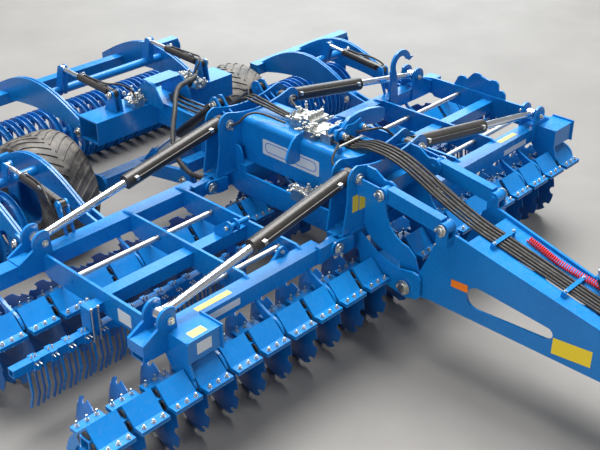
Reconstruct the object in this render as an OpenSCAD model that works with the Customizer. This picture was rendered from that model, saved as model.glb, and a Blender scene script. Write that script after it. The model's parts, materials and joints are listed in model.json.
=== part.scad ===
// Trailed folding disc harrow: two disc rows, ring rollers, transport axle and drawbar.
// X points to the machine's left, Y to its rear and Z up; the ground is at Z = 0.
// Lengths are measured from the front row's disc beam and shifted by row_shift at the end.

/* [Discs] */
// Diameter of a notched disc
disc_d = 610; // [560:5:620]
// Thickness of a disc
disc_t = 6; // [4:0.5:8]
// Depth of a disc's dish
disc_dish = 70; // [50:5:85]
// Depth of a rim notch
notch_r = 38; // [20:1:44]
// Number of rim notches
disc_notches = 10; // [8:1:12]
// Angle of a disc to the line of travel
disc_yaw = 17; // [12:1:19]
// Distance between neighbouring discs of a row
disc_pitch = 250; // [245:1:260]
// Discs of the front row on the right wing
front_right_discs = 11; // [9:1:11]
// Discs of the front row on the left wing
front_left_discs = 9; // [9:1:10]
// Discs of the rear row on each wing
rear_discs = 10; // [9:1:10]
// First front disc clamp from the middle
front_first_x = 166; // [160:1:170]
// First rear disc clamp from the middle
rear_first_x = 290; // [285:1:295]

/* [Disc beams] */
// Side of a square disc beam
beam_s = 90; // [80:1:95]
// Height of the disc beams' centres
beam_z = 630; // [620:1:640]
// Distance between the two disc beams
row_gap = 1260; // [1240:5:1280]
// Width of a disc clamp along its beam
clamp_w = 210; // [190:1:214]
// Wall of a disc clamp
clamp_t = 14; // [10:1:16]
// Distance of a disc hub behind its beam
hub_back = 300; // [290:5:310]

/* [Wing frames] */
// Side of the front and rear cross tubes
tube_s = 120; // [110:1:130]
// Height of the cross tubes' undersides
tube_z = 800; // [795:1:805]
// Front face of the front cross tube
front_tube_y = 200; // [195:1:205]
// Front face of the rear cross tube
rear_tube_y = 1490; // [1485:1:1500]
// Side of the middle cross tube
mid_tube_s = 100; // [90:1:100]
// Height of the long plates' top edge
plate_top = 945; // [940:1:955]
// Thickness of a frame plate
plate_t = 20; // [15:1:24]
// Diameter of the tie rods between the plates
tie_d = 28; // [20:1:34]

/* [Folding] */
// Distance of the wing hinges from the middle
hinge_x = 560; // [555:1:565]
// Height of the wing hinges
hinge_z = 880; // [876:1:884]
// Diameter of a wing hinge pin
hinge_pin_d = 50; // [40:1:60]
// Distance of the fold cylinders' base pins from the middle
fold_base_x = 340; // [335:1:345]
// Distance of the fold cylinders' rod eyes from the middle
fold_eye_x = 2035; // [2028:1:2042]
// Height of the fold cylinders' rod eyes
fold_eye_z = 1025; // [1020:1:1030]
// Outer diameter of a fold cylinder's barrel
fold_barrel_d = 112; // [100:1:116]
// Diameter of a fold cylinder's rod
fold_rod_d = 60; // [50:1:64]

/* [Centre beam and towers] */
// Width of the main beam
main_w = 400; // [380:5:420]
// Height of the main beam
main_h = 360; // [340:5:380]
// Wall of the main beam
main_t = 12; // [8:1:16]
// Height of the upper link's pin on the tower
link_z = 1280; // [1270:5:1290]

/* [Drawbar] */
// Height of the drawbar's lower pins
draw_pin_z = 620; // [610:5:630]
// Thickness of the drawbar's side plates
draw_t = 20; // [15:1:25]
// Distance of the towing eye in front of the disc beam
eye_y = -2600; // [-2700:10:-2500]
// Diameter of the towing eye's bore
eye_bore = 50; // [40:1:60]

/* [Transport axle] */
// Diameter of a transport tyre
tyre_d = 950; // [900:5:960]
// Width of a transport tyre
tyre_w = 500; // [440:5:510]
// Distance of a wheel's centre from the middle
wheel_x = 1060; // [1050:5:1070]
// Distance of the axle behind the disc beam
axle_y = 3000; // [2990:5:3010]
// Height of a tyre's tread above the ground at rest
tyre_lift = 20; // [10:1:30]

/* [Rollers] */
// Diameter of a roller
roller_d = 600; // [580:5:610]
// Distance between neighbouring roller rings
ring_pitch = 125; // [115:1:130]
// Width of a roller ring
ring_w = 62; // [50:1:70]
// Half length of the centre roller
centre_roller_x = 1310; // [1290:5:1320]
// Inner end of a wing roller
wing_roller_x0 = 1400; // [1390:5:1410]
// Outer end of a wing roller
wing_roller_x1 = 2640; // [2630:5:2650]

/* [Hidden] */
$fn = 48;

// Fits
pin_gap = 0.05;
seat_gap = 0.3;
side_gap = 5;

// Disc rows
front_beam_y = 50;
rear_beam_y = front_beam_y + row_gap;
disc_z = disc_d / 2;
hub_r = 50;
hub_flange_r = 68;
disc_flat_r = 72;
hub_len = 92;
disc_off = 45;

// Outer ends of the disc beams
beam_over = 19;
beam_long = front_first_x + (front_right_discs - 1) * disc_pitch + clamp_w / 2 + beam_over;
beam_short = rear_first_x + (rear_discs - 1) * disc_pitch + clamp_w / 2 + 35;
front_left_end = front_first_x + (front_left_discs - 1) * disc_pitch + clamp_w / 2 + beam_over;

// Wing frame
tube_top = tube_z + tube_s;
mid_tube_y = (front_tube_y + rear_tube_y) / 2 - 35;
// Gaps between disc clamps, counted from the middle, that hold the plates and arms of each wing
right_plates = [2, 4, 7];
left_plates = [3, 5, 8];
rear_arm_gaps = [1, 4, 6, 8];
rear_arm_x = 150;
wing_x0 = hinge_x + 95;
centre_end_x = hinge_x - 70;
front_split_x = front_gap(1);
rear_split_x = rear_gap(0);
ear_end_x = fold_eye_x + 205;
box_gap = 7;
box_len = 265;
box_y = [10];
box_z = 790;
tube_t = 10;
tie_rows = [[480, 870], [1180, 870]];
front_hinge_y = front_tube_y;
rear_hinge_y = rear_tube_y;
lug_t = 50;
ear_t = 20;
hinge_r = 58;

// Fold cylinders: each row is [y, base height]
fold_front = [front_tube_y + tube_s / 2, 1330];
fold_rear = [rear_tube_y + tube_s / 2, 1330];
fold_pin_d = 45;
fold_eye_w = 60;
fold_channel_gap = tube_s + 14;
channel_r = 95;
ear_r = 85;
channel_t = 14;
fold_barrel_len = 950;
fold_rod_in = 850;

// The main beam fits between the towers' cross plates
beam_bottom = tube_top + 80;
beam_top = beam_bottom + main_h;
main_y0 = fold_front[0] + fold_channel_gap / 2 + channel_t + seat_gap;
main_y1 = fold_rear[0] - fold_channel_gap / 2 - channel_t - seat_gap;

// Drawbar
draw_pin_y = -240;
draw_pin_x = 265;
cheek_x = 250;
cheek_t = 15;
link_x = 290;
link_w = 66;
link_h = 110;
draw_pin_d = 50;
draw_taper = 2.8;
link_pin_y = -30;
link_front = [-540, 1210];
link_foot_z = 1088;
link_pin_d = 40;
nose_y = draw_pin_y - 1855;
stand_x = 230;
stand_s = 100;
stand_wall = 10;

// Axle
axle_z = tyre_d / 2 + tyre_lift;
axle_pivot = [2020, 660];
axle_tube_y = [axle_pivot[0] - 50, axle_pivot[0] + 50];
lift_base = [1700, 1400];
lift_eye = [2520, 720];
lift_x = 226;
lift_barrel_d = 84;
lift_rod_d = 44;
lift_pin_d = 35;
rim_r = 232;

// Rollers
roller_z = roller_d / 2;
centre_roller_y = 4200;
centre_pivot = [2930, 930];
arch_x = 650;
wing_roller_y = 3000;
wing_pivot = [1800, 900];
wing_arch_xs = [1480, 2010];
wing_cyl_x = 1745;
depth_barrel_d = 70;
depth_rod_d = 36;
depth_pin_d = 30;
centre_cyl_x = 480;
centre_cyl = [[2700, 1270], [3420, 1300]];
wing_cyl = [[1660, 1130], [2320, 1200]];

// The part's middle: the towing eye's front and the centre roller's back are equally far from it
eye_r = 70;
rear_end_y = centre_roller_y + roller_z;
front_end_y = eye_y - eye_r;
row_shift = (rear_end_y + front_end_y) / 2;

// General shapes

// A bar in 2D with round ends of two radii
module bar2d(p, q, r1, r2) {
    d = q - p;
    len = norm(d);
    a = atan2(d[1], d[0]);
    b = acos((r1 - r2) / len);
    translate(p) circle(r1);
    translate(q) circle(r2);
    polygon([
        p + r1 * [cos(a + b), sin(a + b)], p + r1 * [cos(a - b), sin(a - b)],
        q + r2 * [cos(a - b), sin(a - b)], q + r2 * [cos(a + b), sin(a + b)]
    ]);
}

// Outline of such a bar as points, n to each end
function bar_points(p, q, r1, r2, n = 10) = let (
    d = q - p,
    a = atan2(d[1], d[0]),
    b = acos((r1 - r2) / norm(d))
) concat(arc(p, r1, a + b, a + 360 - b, n), arc(q, r2, a - b, a + b, n));

// Points on an arc about c
function arc(c, r, a0, a1, n = 8) =
    [for (i = [0:n]) let (a = a0 + (a1 - a0) * i / n) c + r * [cos(a), sin(a)]];

// A 2D shape in (y, z), x0 to x0 + t
module plate_x(x0, t) {
    translate([x0, 0, 0]) rotate([90, 0, 90]) linear_extrude(t) children();
}

// A 2D shape in (x, z), y0 to y0 + t
module plate_y(y0, t) {
    translate([0, y0 + t, 0]) rotate([90, 0, 0]) linear_extrude(t) children();
}

module pin_x(x0, x1, p, r) {
    translate([x0, p[0], p[1]]) rotate([0, 90, 0]) cylinder(h = x1 - x0, r = r);
}

module pin_y(y0, y1, p, r) {
    translate([p[0], y0, p[1]]) rotate([-90, 0, 0]) cylinder(h = y1 - y0, r = r);
}

module block(x, y, z) {
    translate([x[0], y[0], z[0]]) cube([x[1] - x[0], y[1] - y[0], z[1] - z[0]]);
}

// A square tube along X
module tube_x(x0, x1, y0, z0, s, wall) {
    difference() {
        block([x0, x1], [y0, y0 + s], [z0, z0 + s]);
        block([x0 - 1, x1 + 1], [y0 + wall, y0 + s - wall], [z0 + wall, z0 + s - wall]);
    }
}

// The shape and its mirror image on the other side
module both() {
    children();
    mirror([1, 0, 0]) children();
}

// The shape on the left (1) or on the right (-1)
module on_side(s) {
    if (s > 0) children();
    else mirror([1, 0, 0]) children();
}

// The shape on the left (1), or turned about the upright line through (0, y) to the right (-1)
module turned_side(s, y) {
    if (s > 0) children();
    else translate([0, y, 0]) rotate([0, 0, 180]) translate([0, -y, 0]) children();
}

// Places a child, drawn along +X from the origin, from point p in the (x, z) or (y, z) plane
module aim_xz(p, q, y) {
    d = q - p;
    translate([p[0], y, p[1]]) rotate([0, -atan2(d[1], d[0]), 0]) children();
}

module aim_yz(p, q, x) {
    d = q - p;
    translate([x, p[0], p[1]]) rotate([atan2(d[1], d[0]), 0, 0]) rotate([0, 0, 90]) children();
}

module place() {
    translate([0, -row_shift, 0]) children();
}

// A tube swept along points, with round sides
function unit(v) = v / norm(v);
function tangent(p, i) = unit(p[min(i + 1, len(p) - 1)] - p[max(i - 1, 0)]);
function ring(c, t, r, n) = let (
    a = abs(t[2]) > 0.9 ? [0, 1, 0] : [0, 0, 1],
    u = unit(cross(t, a)),
    v = cross(t, u)
) [for (k = [0:n - 1]) c + r * (cos(360 * k / n) * u + sin(360 * k / n) * v)];

module sweep(p, r, n = 8) {
    m = len(p);
    pts = [for (i = [0:m - 1]) each ring(p[i], tangent(p, i), r, n)];
    sides = [for (i = [0:m - 2]) for (k = [0:n - 1])
        [i * n + k, i * n + (k + 1) % n, (i + 1) * n + (k + 1) % n, (i + 1) * n + k]];
    polyhedron(pts, concat(sides, [[for (k = [n - 1:-1:0]) k]], [[for (k = [0:n - 1]) (m - 1) * n + k]]));
}

// Discs and their clamps

// One notched disc, axis on Z, hollow side up, its flat back at Z = 0
module disc() {
    r = disc_d / 2;
    radii = [disc_flat_r, disc_flat_r + 60, disc_flat_r + 130, r - notch_r - 4, r];
    dish = [for (q = radii) [q, disc_dish * pow((q - disc_flat_r) / (r - disc_flat_r), 2)]];
    back = [for (i = [len(dish) - 1:-1:0]) dish[i]];
    top = [for (p = dish) p + [0, disc_t]];
    difference() {
        rotate_extrude() polygon(concat([[0, disc_t]], top, back, [[0, 0]]));
        for (k = [0:disc_notches - 1])
            rotate(360 * (k + 0.5) / disc_notches)
                translate([r + notch_r * 0.15, 0, -1]) cylinder(h = disc_dish + disc_t + 2, r = notch_r, $fn = 24);
    }
}

// The frame of a disc on a clamp at x, row facing 1 (hollow side to +X) or -1
module disc_frame(x, beam_y, facing) {
    translate([x + facing * disc_off, beam_y + hub_back, disc_z])
        rotate([0, 0, facing > 0 ? -disc_yaw : disc_yaw]) rotate([0, facing * 90, 0]) children();
}

// One clamp on the beam with its curved arm and the disc's hub
module clamp_arm(x, beam_y, facing) {
    c = [beam_y, beam_z];
    half = beam_s / sqrt(2) + 6 + clamp_t;
    arm_x = x - facing * 30;
    bow_r = hub_back - 60;
    bow = [beam_y + 60, disc_z];
    bow_w = 72;
    plate_x(x - clamp_w / 2, clamp_w) difference() {
        translate(c) rotate(45) square(2 * half, center = true);
        translate(c) square(beam_s + 2 * seat_gap, center = true);
    }
    plate_x(arm_x - 16, 32) polygon(concat(
        arc(bow, bow_r + bow_w / 2, -8, 105, 9),
        arc(bow, bow_r - bow_w / 2, 105, -8, 9)
    ));
    disc_frame(x, beam_y, facing) {
        translate([0, 0, -seat_gap - hub_len]) cylinder(h = hub_len, r = hub_r);
        translate([0, 0, -seat_gap - 14]) cylinder(h = 14, r = hub_flange_r);
    }
}

// Clamp centres of one row on one side
function row_xs(first, count, side) = [for (i = [0:count - 1]) side * (first + disc_pitch * i)];
front_inner = 2;
rear_inner = 1;
front_wing_x = front_first_x + front_inner * disc_pitch;
rear_wing_x = rear_first_x + rear_inner * disc_pitch;
front_centre = concat(row_xs(front_first_x, front_inner, -1), row_xs(front_first_x, front_inner, 1));
rear_centre = concat(row_xs(rear_first_x, rear_inner, -1), row_xs(rear_first_x, rear_inner, 1));
front_right = row_xs(front_wing_x, front_right_discs - front_inner, -1);
front_left = row_xs(front_wing_x, front_left_discs - front_inner, 1);
rear_right = row_xs(rear_wing_x, rear_discs - rear_inner, -1);
rear_left = row_xs(rear_wing_x, rear_discs - rear_inner, 1);

module clamp_row(xs, beam_y, facing) {
    color("royalblue") for (x = xs) clamp_arm(x, beam_y, facing);
}

module disc_row(xs, beam_y, facing) {
    color("slategray") for (x = xs) disc_frame(x, beam_y, facing) disc();
}

// Wing frames

// Middle of the gap between the front clamps k and k + 1, and between the rear ones
function front_gap(k) = front_first_x + disc_pitch * (k + 0.5);
function rear_gap(k) = rear_first_x + disc_pitch * (k + 0.5);

// Upper edge of a front arm, from the tube's top down its face, over the disc beam and round its front
module arm_2d(tube_y, beam_y) {
    front = beam_y - beam_s / 2 - 37;
    polygon(concat(
        [[front, beam_z], [beam_y + beam_s / 2 + 40, beam_z]],
        arc([beam_y + beam_s / 2 + 135, beam_z + 10], 95, 180, 120, 4),
        [[tube_y + 30, tube_z - 12], [tube_y + 60, tube_z + 20], [tube_y + 60, tube_top - 4], [tube_y + 18, tube_top - 26]],
        arc([tube_y - 53, tube_top - 84], 70, 0, -65, 4),
        arc([beam_y + 30, beam_z - 20], 122, 88, 168, 6)
    ));
}

// Outline of a long plate from the front tube to the rear tube, with its arm to the front disc beam
module long_plate_2d() {
    end_y = rear_tube_y + tube_s + 40;
    low = tube_z - 35;
    arm_2d(front_tube_y, front_beam_y);
    polygon([
        [front_tube_y + 17, tube_top - 26], [front_tube_y + 130, plate_top], [rear_tube_y - 20, plate_top],
        [rear_tube_y + 90, plate_top - 18], [end_y - 30, tube_top - 30], [end_y, tube_top - 45],
        [end_y, tube_z - 12], [rear_tube_y - 12, tube_z - 12], [rear_tube_y - 40, low],
        [front_tube_y + tube_s + 60, low], [front_tube_y + tube_s + 30, tube_z - 12], [front_tube_y + 17, tube_z - 12]
    ]);
}

// Outline of the plate beside the end box: it drops from the tube to the front of the disc beam
module side_plate_2d() {
    polygon(concat(
        [[front_beam_y - 72, beam_z + 72], [front_beam_y - 60, beam_z], [front_beam_y + 95, beam_z]],
        arc([front_beam_y + 190, beam_z + 10], 95, 180, 120, 4),
        [[front_tube_y + 40, tube_z - 12], [front_tube_y + 60, tube_top - 4], [front_tube_y + 18, plate_top - 4]],
        [[box_y[0] + 12, plate_top - 4], [box_y[0], plate_top - 16], [box_y[0], box_z - 4]]
    ));
}

// The end box on the front of the tube, from the side plate towards the machine's left, with its end flange
module end_box(x) {
    difference() {
        block([x, x + box_len], [box_y[0], front_tube_y + 5], [box_z, plate_top - 4]);
        block([x + 20, x + box_len + 1], [box_y[0] + 8, front_tube_y - 8], [box_z + 8, plate_top - 12]);
    }
    difference() {
        block([x + box_len - 10, x + box_len], [box_y[0] - 14, front_tube_y + 2], [box_z - 14, plate_top + 10]);
        block([x + box_len - 11, x + box_len + 1], [box_y[0] + 8, front_tube_y - 8], [box_z + 8, plate_top - 12]);
    }
    plate_x(x - plate_t / 2, plate_t) side_plate_2d();
}

// One wing's frame, drawn on the left; the gaps count from the machine's middle
module wing_frame(front_end, rear_end, gaps) {
    first = front_gap(gaps[0]);
    front_outer = max(front_gap(gaps[len(gaps) - 1]) + plate_t / 2, ear_end_x - 10);
    rear_outer = rear_gap(rear_arm_gaps[len(rear_arm_gaps) - 1]) + plate_t / 2;
    tube_x(wing_x0, front_outer, front_tube_y, tube_z, tube_s, tube_t);
    tube_x(wing_x0, rear_outer, rear_tube_y, tube_z, tube_s, tube_t);
    tube_x(first, front_gap(gaps[len(gaps) - 1]), mid_tube_y, tube_z, mid_tube_s, 8);
    tube_x(front_split_x + 3, front_end, front_beam_y - beam_s / 2, beam_z - beam_s / 2, beam_s, 10);
    tube_x(rear_split_x + 3, rear_end, rear_beam_y - beam_s / 2, beam_z - beam_s / 2, beam_s, 10);
    for (k = gaps) plate_x(front_gap(k) - plate_t / 2, plate_t) long_plate_2d();
    for (k = rear_arm_gaps) plate_x(rear_gap(k) - plate_t / 2, plate_t) arm_2d(rear_tube_y, rear_beam_y);
    plate_x(front_gap(6) - plate_t / 2, plate_t) arm_2d(front_tube_y, front_beam_y);
    for (y = [front_hinge_y, rear_hinge_y]) hinge_lug(y);
    for (f = [fold_front, fold_rear]) rod_ears(f[0]);
    for (x = wing_arch_xs) arch_ears(x);
    cylinder_ears(wing_cyl_x, wing_cyl[0], tube_top, [rear_tube_y + tube_s - 20, rear_tube_y + tube_s - 3]);
    // Small brackets on the plates for the tie rods
    for (i = [0:len(gaps) - 2], t = tie_rows)
        for (x = [front_gap(gaps[i]), front_gap(gaps[i + 1])]) pin_x(x - 14, x + 14, t, tie_d / 2 + 10);
}

module right_wing() {
    color("royalblue") {
        on_side(-1) wing_frame(beam_long, beam_short, right_plates);
        end_box(-front_gap(box_gap));
    }
}

module left_wing() {
    color("royalblue") {
        wing_frame(front_left_end, beam_long, left_plates);
        end_box(front_gap(box_gap));
    }
}

// Tie rods between the long plates, with a nut at each end
module tie_rods(gaps) {
    color("silver") for (i = [0:len(gaps) - 2], t = tie_rows) {
        a = front_gap(gaps[i]) + 14 + seat_gap;
        b = front_gap(gaps[i + 1]) - 14 - seat_gap;
        pin_x(a, b, t, tie_d / 2);
        for (x = [a, b - 16]) pin_x(x, x + 16, t, tie_d / 2 + 7);
    }
}

// The wing's lug on its hinge pin
module hinge_lug(y) {
    plate_y(y - lug_t / 2, lug_t) difference() {
        union() {
            translate([hinge_x, hinge_z]) circle(hinge_r);
            polygon([
                [hinge_x, hinge_z + hinge_r], [wing_x0 + 60, tube_top + 14], [wing_x0 + 60, tube_z + 6],
                [hinge_x + 30, hinge_z - 50], [hinge_x, hinge_z - hinge_r]
            ]);
        }
        translate([hinge_x, hinge_z]) circle(hinge_pin_d / 2 + pin_gap);
    }
}

// Two leaning ears on the tube's faces, with a pin stub in each, for the fold cylinder's rod
module rod_ears(y) {
    inside = tube_s / 2;
    eye = [fold_eye_x, fold_eye_z];
    for (s = [-1, 1]) {
        y0 = s > 0 ? y + inside - 4 : y - inside - ear_t + 4;
        plate_y(y0, ear_t) polygon(concat(
            arc(eye, ear_r, -20, 125, 10),
            [[fold_eye_x - 70, tube_z + 10], [ear_end_x - 60, tube_z + 10], [ear_end_x, tube_z + 55], [ear_end_x, tube_top + 12]]
        ));
        pin_y(s > 0 ? y + fold_eye_w / 2 + side_gap : y0 - 16, s > 0 ? y0 + ear_t + 16 : y - fold_eye_w / 2 - side_gap,
            eye, fold_pin_d / 2);
        pin_y(s > 0 ? y0 + ear_t - 1 : y0 - 8, s > 0 ? y0 + ear_t + 8 : y0 + 1, eye, fold_pin_d / 2 + 16);
    }
    // Shelf between the ears and the plate that closes the tube's end
    block([ear_end_x - 130, ear_end_x], [y - inside + 2, y + inside - 2], [tube_top - 4, tube_top + 10]);
    block([ear_end_x - 12, ear_end_x], [y - inside + 2, y + inside - 2], [tube_z + 50, tube_top + 4]);
}

// Two ears behind the rear tube for a roller frame's arm
module arch_ears(x) {
    for (dx = [-42, 24])
        plate_x(x + dx, 18) difference() {
            union() {
                translate(wing_pivot) circle(60);
                polygon([
                    [rear_tube_y + tube_s - 5, tube_z + 10], wing_pivot + [0, -60], wing_pivot + [0, 60],
                    [rear_tube_y + tube_s - 5, tube_top]
                ]);
            }
            translate(wing_pivot) circle(depth_pin_d / 2);
        }
    pin_x(x - 54, x + 54, wing_pivot, depth_pin_d / 2);
}

// A pair of upright ears at x that holds a cylinder's base pin at p; they stand on z over the y range
module cylinder_ears(x, p, z, ys) {
    for (dx = [-38, 24])
        plate_x(x + dx, 14) union() {
            translate(p) circle(34);
            polygon([[ys[0], z - 5], [ys[1], z - 5], p + [34, 0], p - [34, 0]]);
        }
    pin_x(x - 46, x + 46, p, depth_pin_d / 2);
}

// Spring tine bar between the rows, drawn on the left
module tine_bar(x0, x1, gaps) {
    y = mid_tube_y + mid_tube_s / 2;
    z = 660;
    s = 60;
    color("royalblue") {
        tube_x(x0, x1, y - s / 2, z - s / 2, s, 6);
        for (x = [front_gap(gaps[0]) + 120, front_gap(gaps[len(gaps) - 1]) - 120])
            block([x - 10, x + 10], [y - 40, y + 40], [z + s / 2, tube_z - seat_gap]);
        for (x = [x0 + 60:125:x1 - 50]) {
            block([x - 22, x + 22], [y - s / 2 - 12, y + s / 2 + 12], [z - s / 2 - 12, z + s / 2 + 4]);
            tine([x, y + s / 2 + 12, z - 10]);
        }
    }
}

// One spring tine that hangs from p, bent back, forward and back again
module tine(p) {
    t = 13;
    translate(p) plate_x(-t / 2, t) polygon([
        [-1, 7], [20, 7], [40, -8], [66, -120], [48, -295], [96, -430], [83, -434], [34, -296], [52, -120],
        [28, -16], [14, -7], [-1, -7]
    ]);
}

// Fold cylinders, drawn on the left: barrel and rod along the line between the pins
module fold_barrel(f) {
    base = [fold_base_x, f[1]];
    eye = [fold_eye_x, fold_eye_z];
    aim_xz(base, eye, f[0]) difference() {
        union() {
            rotate([90, 0, 0]) cylinder(h = fold_eye_w, r = 46, center = true);
            translate([36, 0, 0]) rotate([0, 90, 0]) cylinder(h = fold_barrel_len - 36, r = fold_barrel_d / 2);
        }
        rotate([90, 0, 0]) cylinder(h = fold_eye_w + 2, r = fold_pin_d / 2 + pin_gap, center = true);
        translate([110, 0, 0]) rotate([0, 90, 0]) cylinder(h = fold_barrel_len, r = fold_rod_d / 2 + pin_gap);
    }
}

module fold_rod(f) {
    base = [fold_base_x, f[1]];
    eye = [fold_eye_x, fold_eye_z];
    len = norm(eye - base);
    aim_xz(base, eye, f[0]) {
        translate([len - fold_rod_in, 0, 0]) rotate([0, 90, 0]) cylinder(h = fold_rod_in - 30, r = fold_rod_d / 2);
        translate([len, 0, 0]) rotate([90, 0, 0]) difference() {
            cylinder(h = fold_eye_w, r = 46, center = true);
            cylinder(h = fold_eye_w + 2, r = fold_pin_d / 2, center = true);
        }
    }
}

// Centre section

module main_beam() {
    y0 = main_y0;
    y1 = main_y1;
    r = 45;
    w = main_w / 2;
    plate_mid = front_gap(0);
    color("royalblue") {
        plate_y(y0, y1 - y0) difference() {
            polygon(concat([[-w, beam_bottom], [w, beam_bottom]],
                arc([w - r, beam_top - r], r, 0, 90), arc([r - w, beam_top - r], r, 90, 180)));
            polygon(concat([[main_t - w, beam_bottom + main_t], [w - main_t, beam_bottom + main_t]],
                arc([w - r, beam_top - r], r - main_t, 0, 90), arc([r - w, beam_top - r], r - main_t, 90, 180)));
        }
        for (y = [y0, y1 - main_t]) block([2 - w, w - 2], [y, y + main_t], [beam_bottom + 2, beam_top - r]);
        centre_tube(front_tube_y, front_hinge_y);
        centre_tube(rear_tube_y, rear_hinge_y);
        // Cross members between the centre plates carry the beam
        for (y = [y0 + 30, y1 - 130])
            block([-plate_mid, plate_mid], [y, y + 100], [tube_z + 10, beam_bottom + 4]);
        tube_x(-front_split_x + 3, front_split_x - 3, front_beam_y - beam_s / 2, beam_z - beam_s / 2, beam_s, 10);
        tube_x(-rear_split_x + 3, rear_split_x - 3, rear_beam_y - beam_s / 2, beam_z - beam_s / 2, beam_s, 10);
        both() {
            plate_x(plate_mid - plate_t / 2, plate_t) difference() {
                centre_plate_2d();
                translate([draw_pin_y, draw_pin_z]) circle(draw_pin_d / 2 + pin_gap);
            }
            plate_x(rear_arm_x - plate_t / 2, plate_t) arm_2d(rear_tube_y, rear_beam_y);
        }
    }
}

// Side plate of the centre section: from the rear tube forward, down over the disc beam and out to the drawbar pin
module centre_plate_2d() {
    end_y = rear_tube_y + tube_s + 12;
    low = tube_z - 35;
    p = [draw_pin_y, draw_pin_z];
    polygon(concat(
        [[end_y, tube_top - 22], [end_y - 20, tube_top - 2], [main_y1 - 12, tube_top - 2], [main_y1 - 38, plate_top]],
        [[main_y0 + 38, plate_top], [main_y0 + 12, tube_top - 2], [front_tube_y + 20, tube_top - 2]],
        [[front_tube_y - 55, plate_top - 78], [front_tube_y - 120, plate_top - 120], [20, 788]],
        arc([-170, 1010], 270, -62, -95, 5),
        [[-300, 760], [-345, 752], [-368, 722], [-372, 590], [-350, 562]],
        arc(p, 82, -100, -60, 3),
        [[-60, 572], [20, 572], [front_beam_y + 95, 600], [front_tube_y - 20, tube_z - 60]],
        [[front_tube_y + 60, tube_z - 30], [front_tube_y + tube_s + 60, low], [rear_tube_y - 60, low]],
        [[rear_tube_y - 12, tube_z - 12], [end_y, tube_z - 12]]
    ));
}

// A cross tube of the centre section with the clevises and pins of both wing hinges
module centre_tube(y0, hinge_y) {
    end = centre_end_x;
    front = hinge_y - lug_t / 2 - ear_t - 2;
    tube_x(-end, end, y0, tube_z, tube_s, tube_t);
    both() {
        block([end - 100, end - 2], [front + 2, y0 + tube_s - 2], [tube_z + 4, tube_top - 4]);
        for (y = [front, hinge_y + lug_t / 2 + 2])
            plate_y(y, ear_t) {
                translate([hinge_x, hinge_z]) circle(56);
                polygon([[end - 60, tube_z], [end - 60, tube_top], [hinge_x, hinge_z + 56], [hinge_x, hinge_z - 56]]);
            }
        pin_y(front - 12, hinge_y + lug_t / 2 + ear_t + 14, [hinge_x, hinge_z], hinge_pin_d / 2);
    }
}

// Two cross plates that hold both fold cylinders' base pins, on a foot plate over the tube
module fold_channel(f) {
    low = tube_top + seat_gap;
    p = [fold_base_x, f[1]];
    q = [-fold_base_x, f[1]];
    top = f[1] + 70;
    for (s = [-1, 1]) {
        y0 = s > 0 ? f[0] + fold_channel_gap / 2 : f[0] - fold_channel_gap / 2 - channel_t;
        plate_y(y0, channel_t) polygon(concat(
            arc(p, channel_r, 0, 90, 8),
            arc([0, top + 1027], 1057, -76.3, -103.7, 8),
            arc(q, channel_r, 90, 180, 8),
            [[-fold_base_x - channel_r, 1180], [-fold_base_x - channel_r - 20, 1050], [-fold_base_x - channel_r - 45, low]],
            [[fold_base_x + channel_r + 45, low], [fold_base_x + channel_r + 20, 1050], [fold_base_x + channel_r, 1180]]
        ));
    }
    half = fold_channel_gap / 2 + channel_t;
    block([-400, 400], [f[0] - half - 12, f[0] + half], [low, low + 16]);
    both() {
        pin_y(f[0] - half - 14, f[0] + half + 12, p, fold_pin_d / 2);
        pin_y(f[0] - half - 7, f[0] - half + 1, p, fold_pin_d / 2 + 16);
        for (s = [-1, 1]) pin_y(f[0] + s * 50 - 16, f[0] + s * 50 + 16, p, 28);
    }
}

module front_tower() {
    f = fold_front;
    half = fold_channel_gap / 2 + channel_t;
    color("royalblue") {
        fold_channel(f);
        both() {
            plate_x(cheek_x - cheek_t, cheek_t) difference() {
                tower_cheek_2d();
                translate([draw_pin_y, draw_pin_z]) circle(draw_pin_d / 2 + pin_gap);
            }
            // The link's pin sits in the cheek and in a lug on the cross plate
            plate_x(link_x + link_w / 2 + 4, 12) polygon(concat(
                arc([link_pin_y, link_z], 50, 60, 250, 8),
                [[f[0] - half + 4, link_z - 80], [f[0] - half + 4, link_z + 60]]
            ));
            pin_x(cheek_x - cheek_t - 12, link_x + link_w / 2 + 30, [link_pin_y, link_z], link_pin_d / 2);
            pin_x(link_x + link_w / 2 + 14, link_x + link_w / 2 + 24, [link_pin_y, link_z], link_pin_d / 2 + 14);
        }
        block([-cheek_x + 4, cheek_x - 4], [f[0] - half - 70, f[0] - half + 2], [1120, 1230]);
    }
}

// Side view of a tower cheek: from the foot forward to the link's pin and down to the drawbar pin
module tower_cheek_2d() {
    foot = fold_front[0] + fold_channel_gap / 2;
    low = tube_top + seat_gap + 4;
    p = [draw_pin_y, draw_pin_z];
    polygon(concat(
        [[foot, low], [foot, 1330], [200, 1395], [100, 1390], [30, 1345]],
        arc([link_pin_y, link_z], 66, 60, 250, 8),
        [[6, 1190], [-2, 1130], [-16, 1060], [-44, 1000], [-92, 950], [-150, 918], [-215, 900], [-275, 850]],
        [[-315, 740]],
        arc(p, 80, 175, 330, 8),
        [[-165, 650], [-150, 768], [-100, 778], [20, 800], [100, 838], [150, 880], [170, low]]
    ));
}

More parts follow.
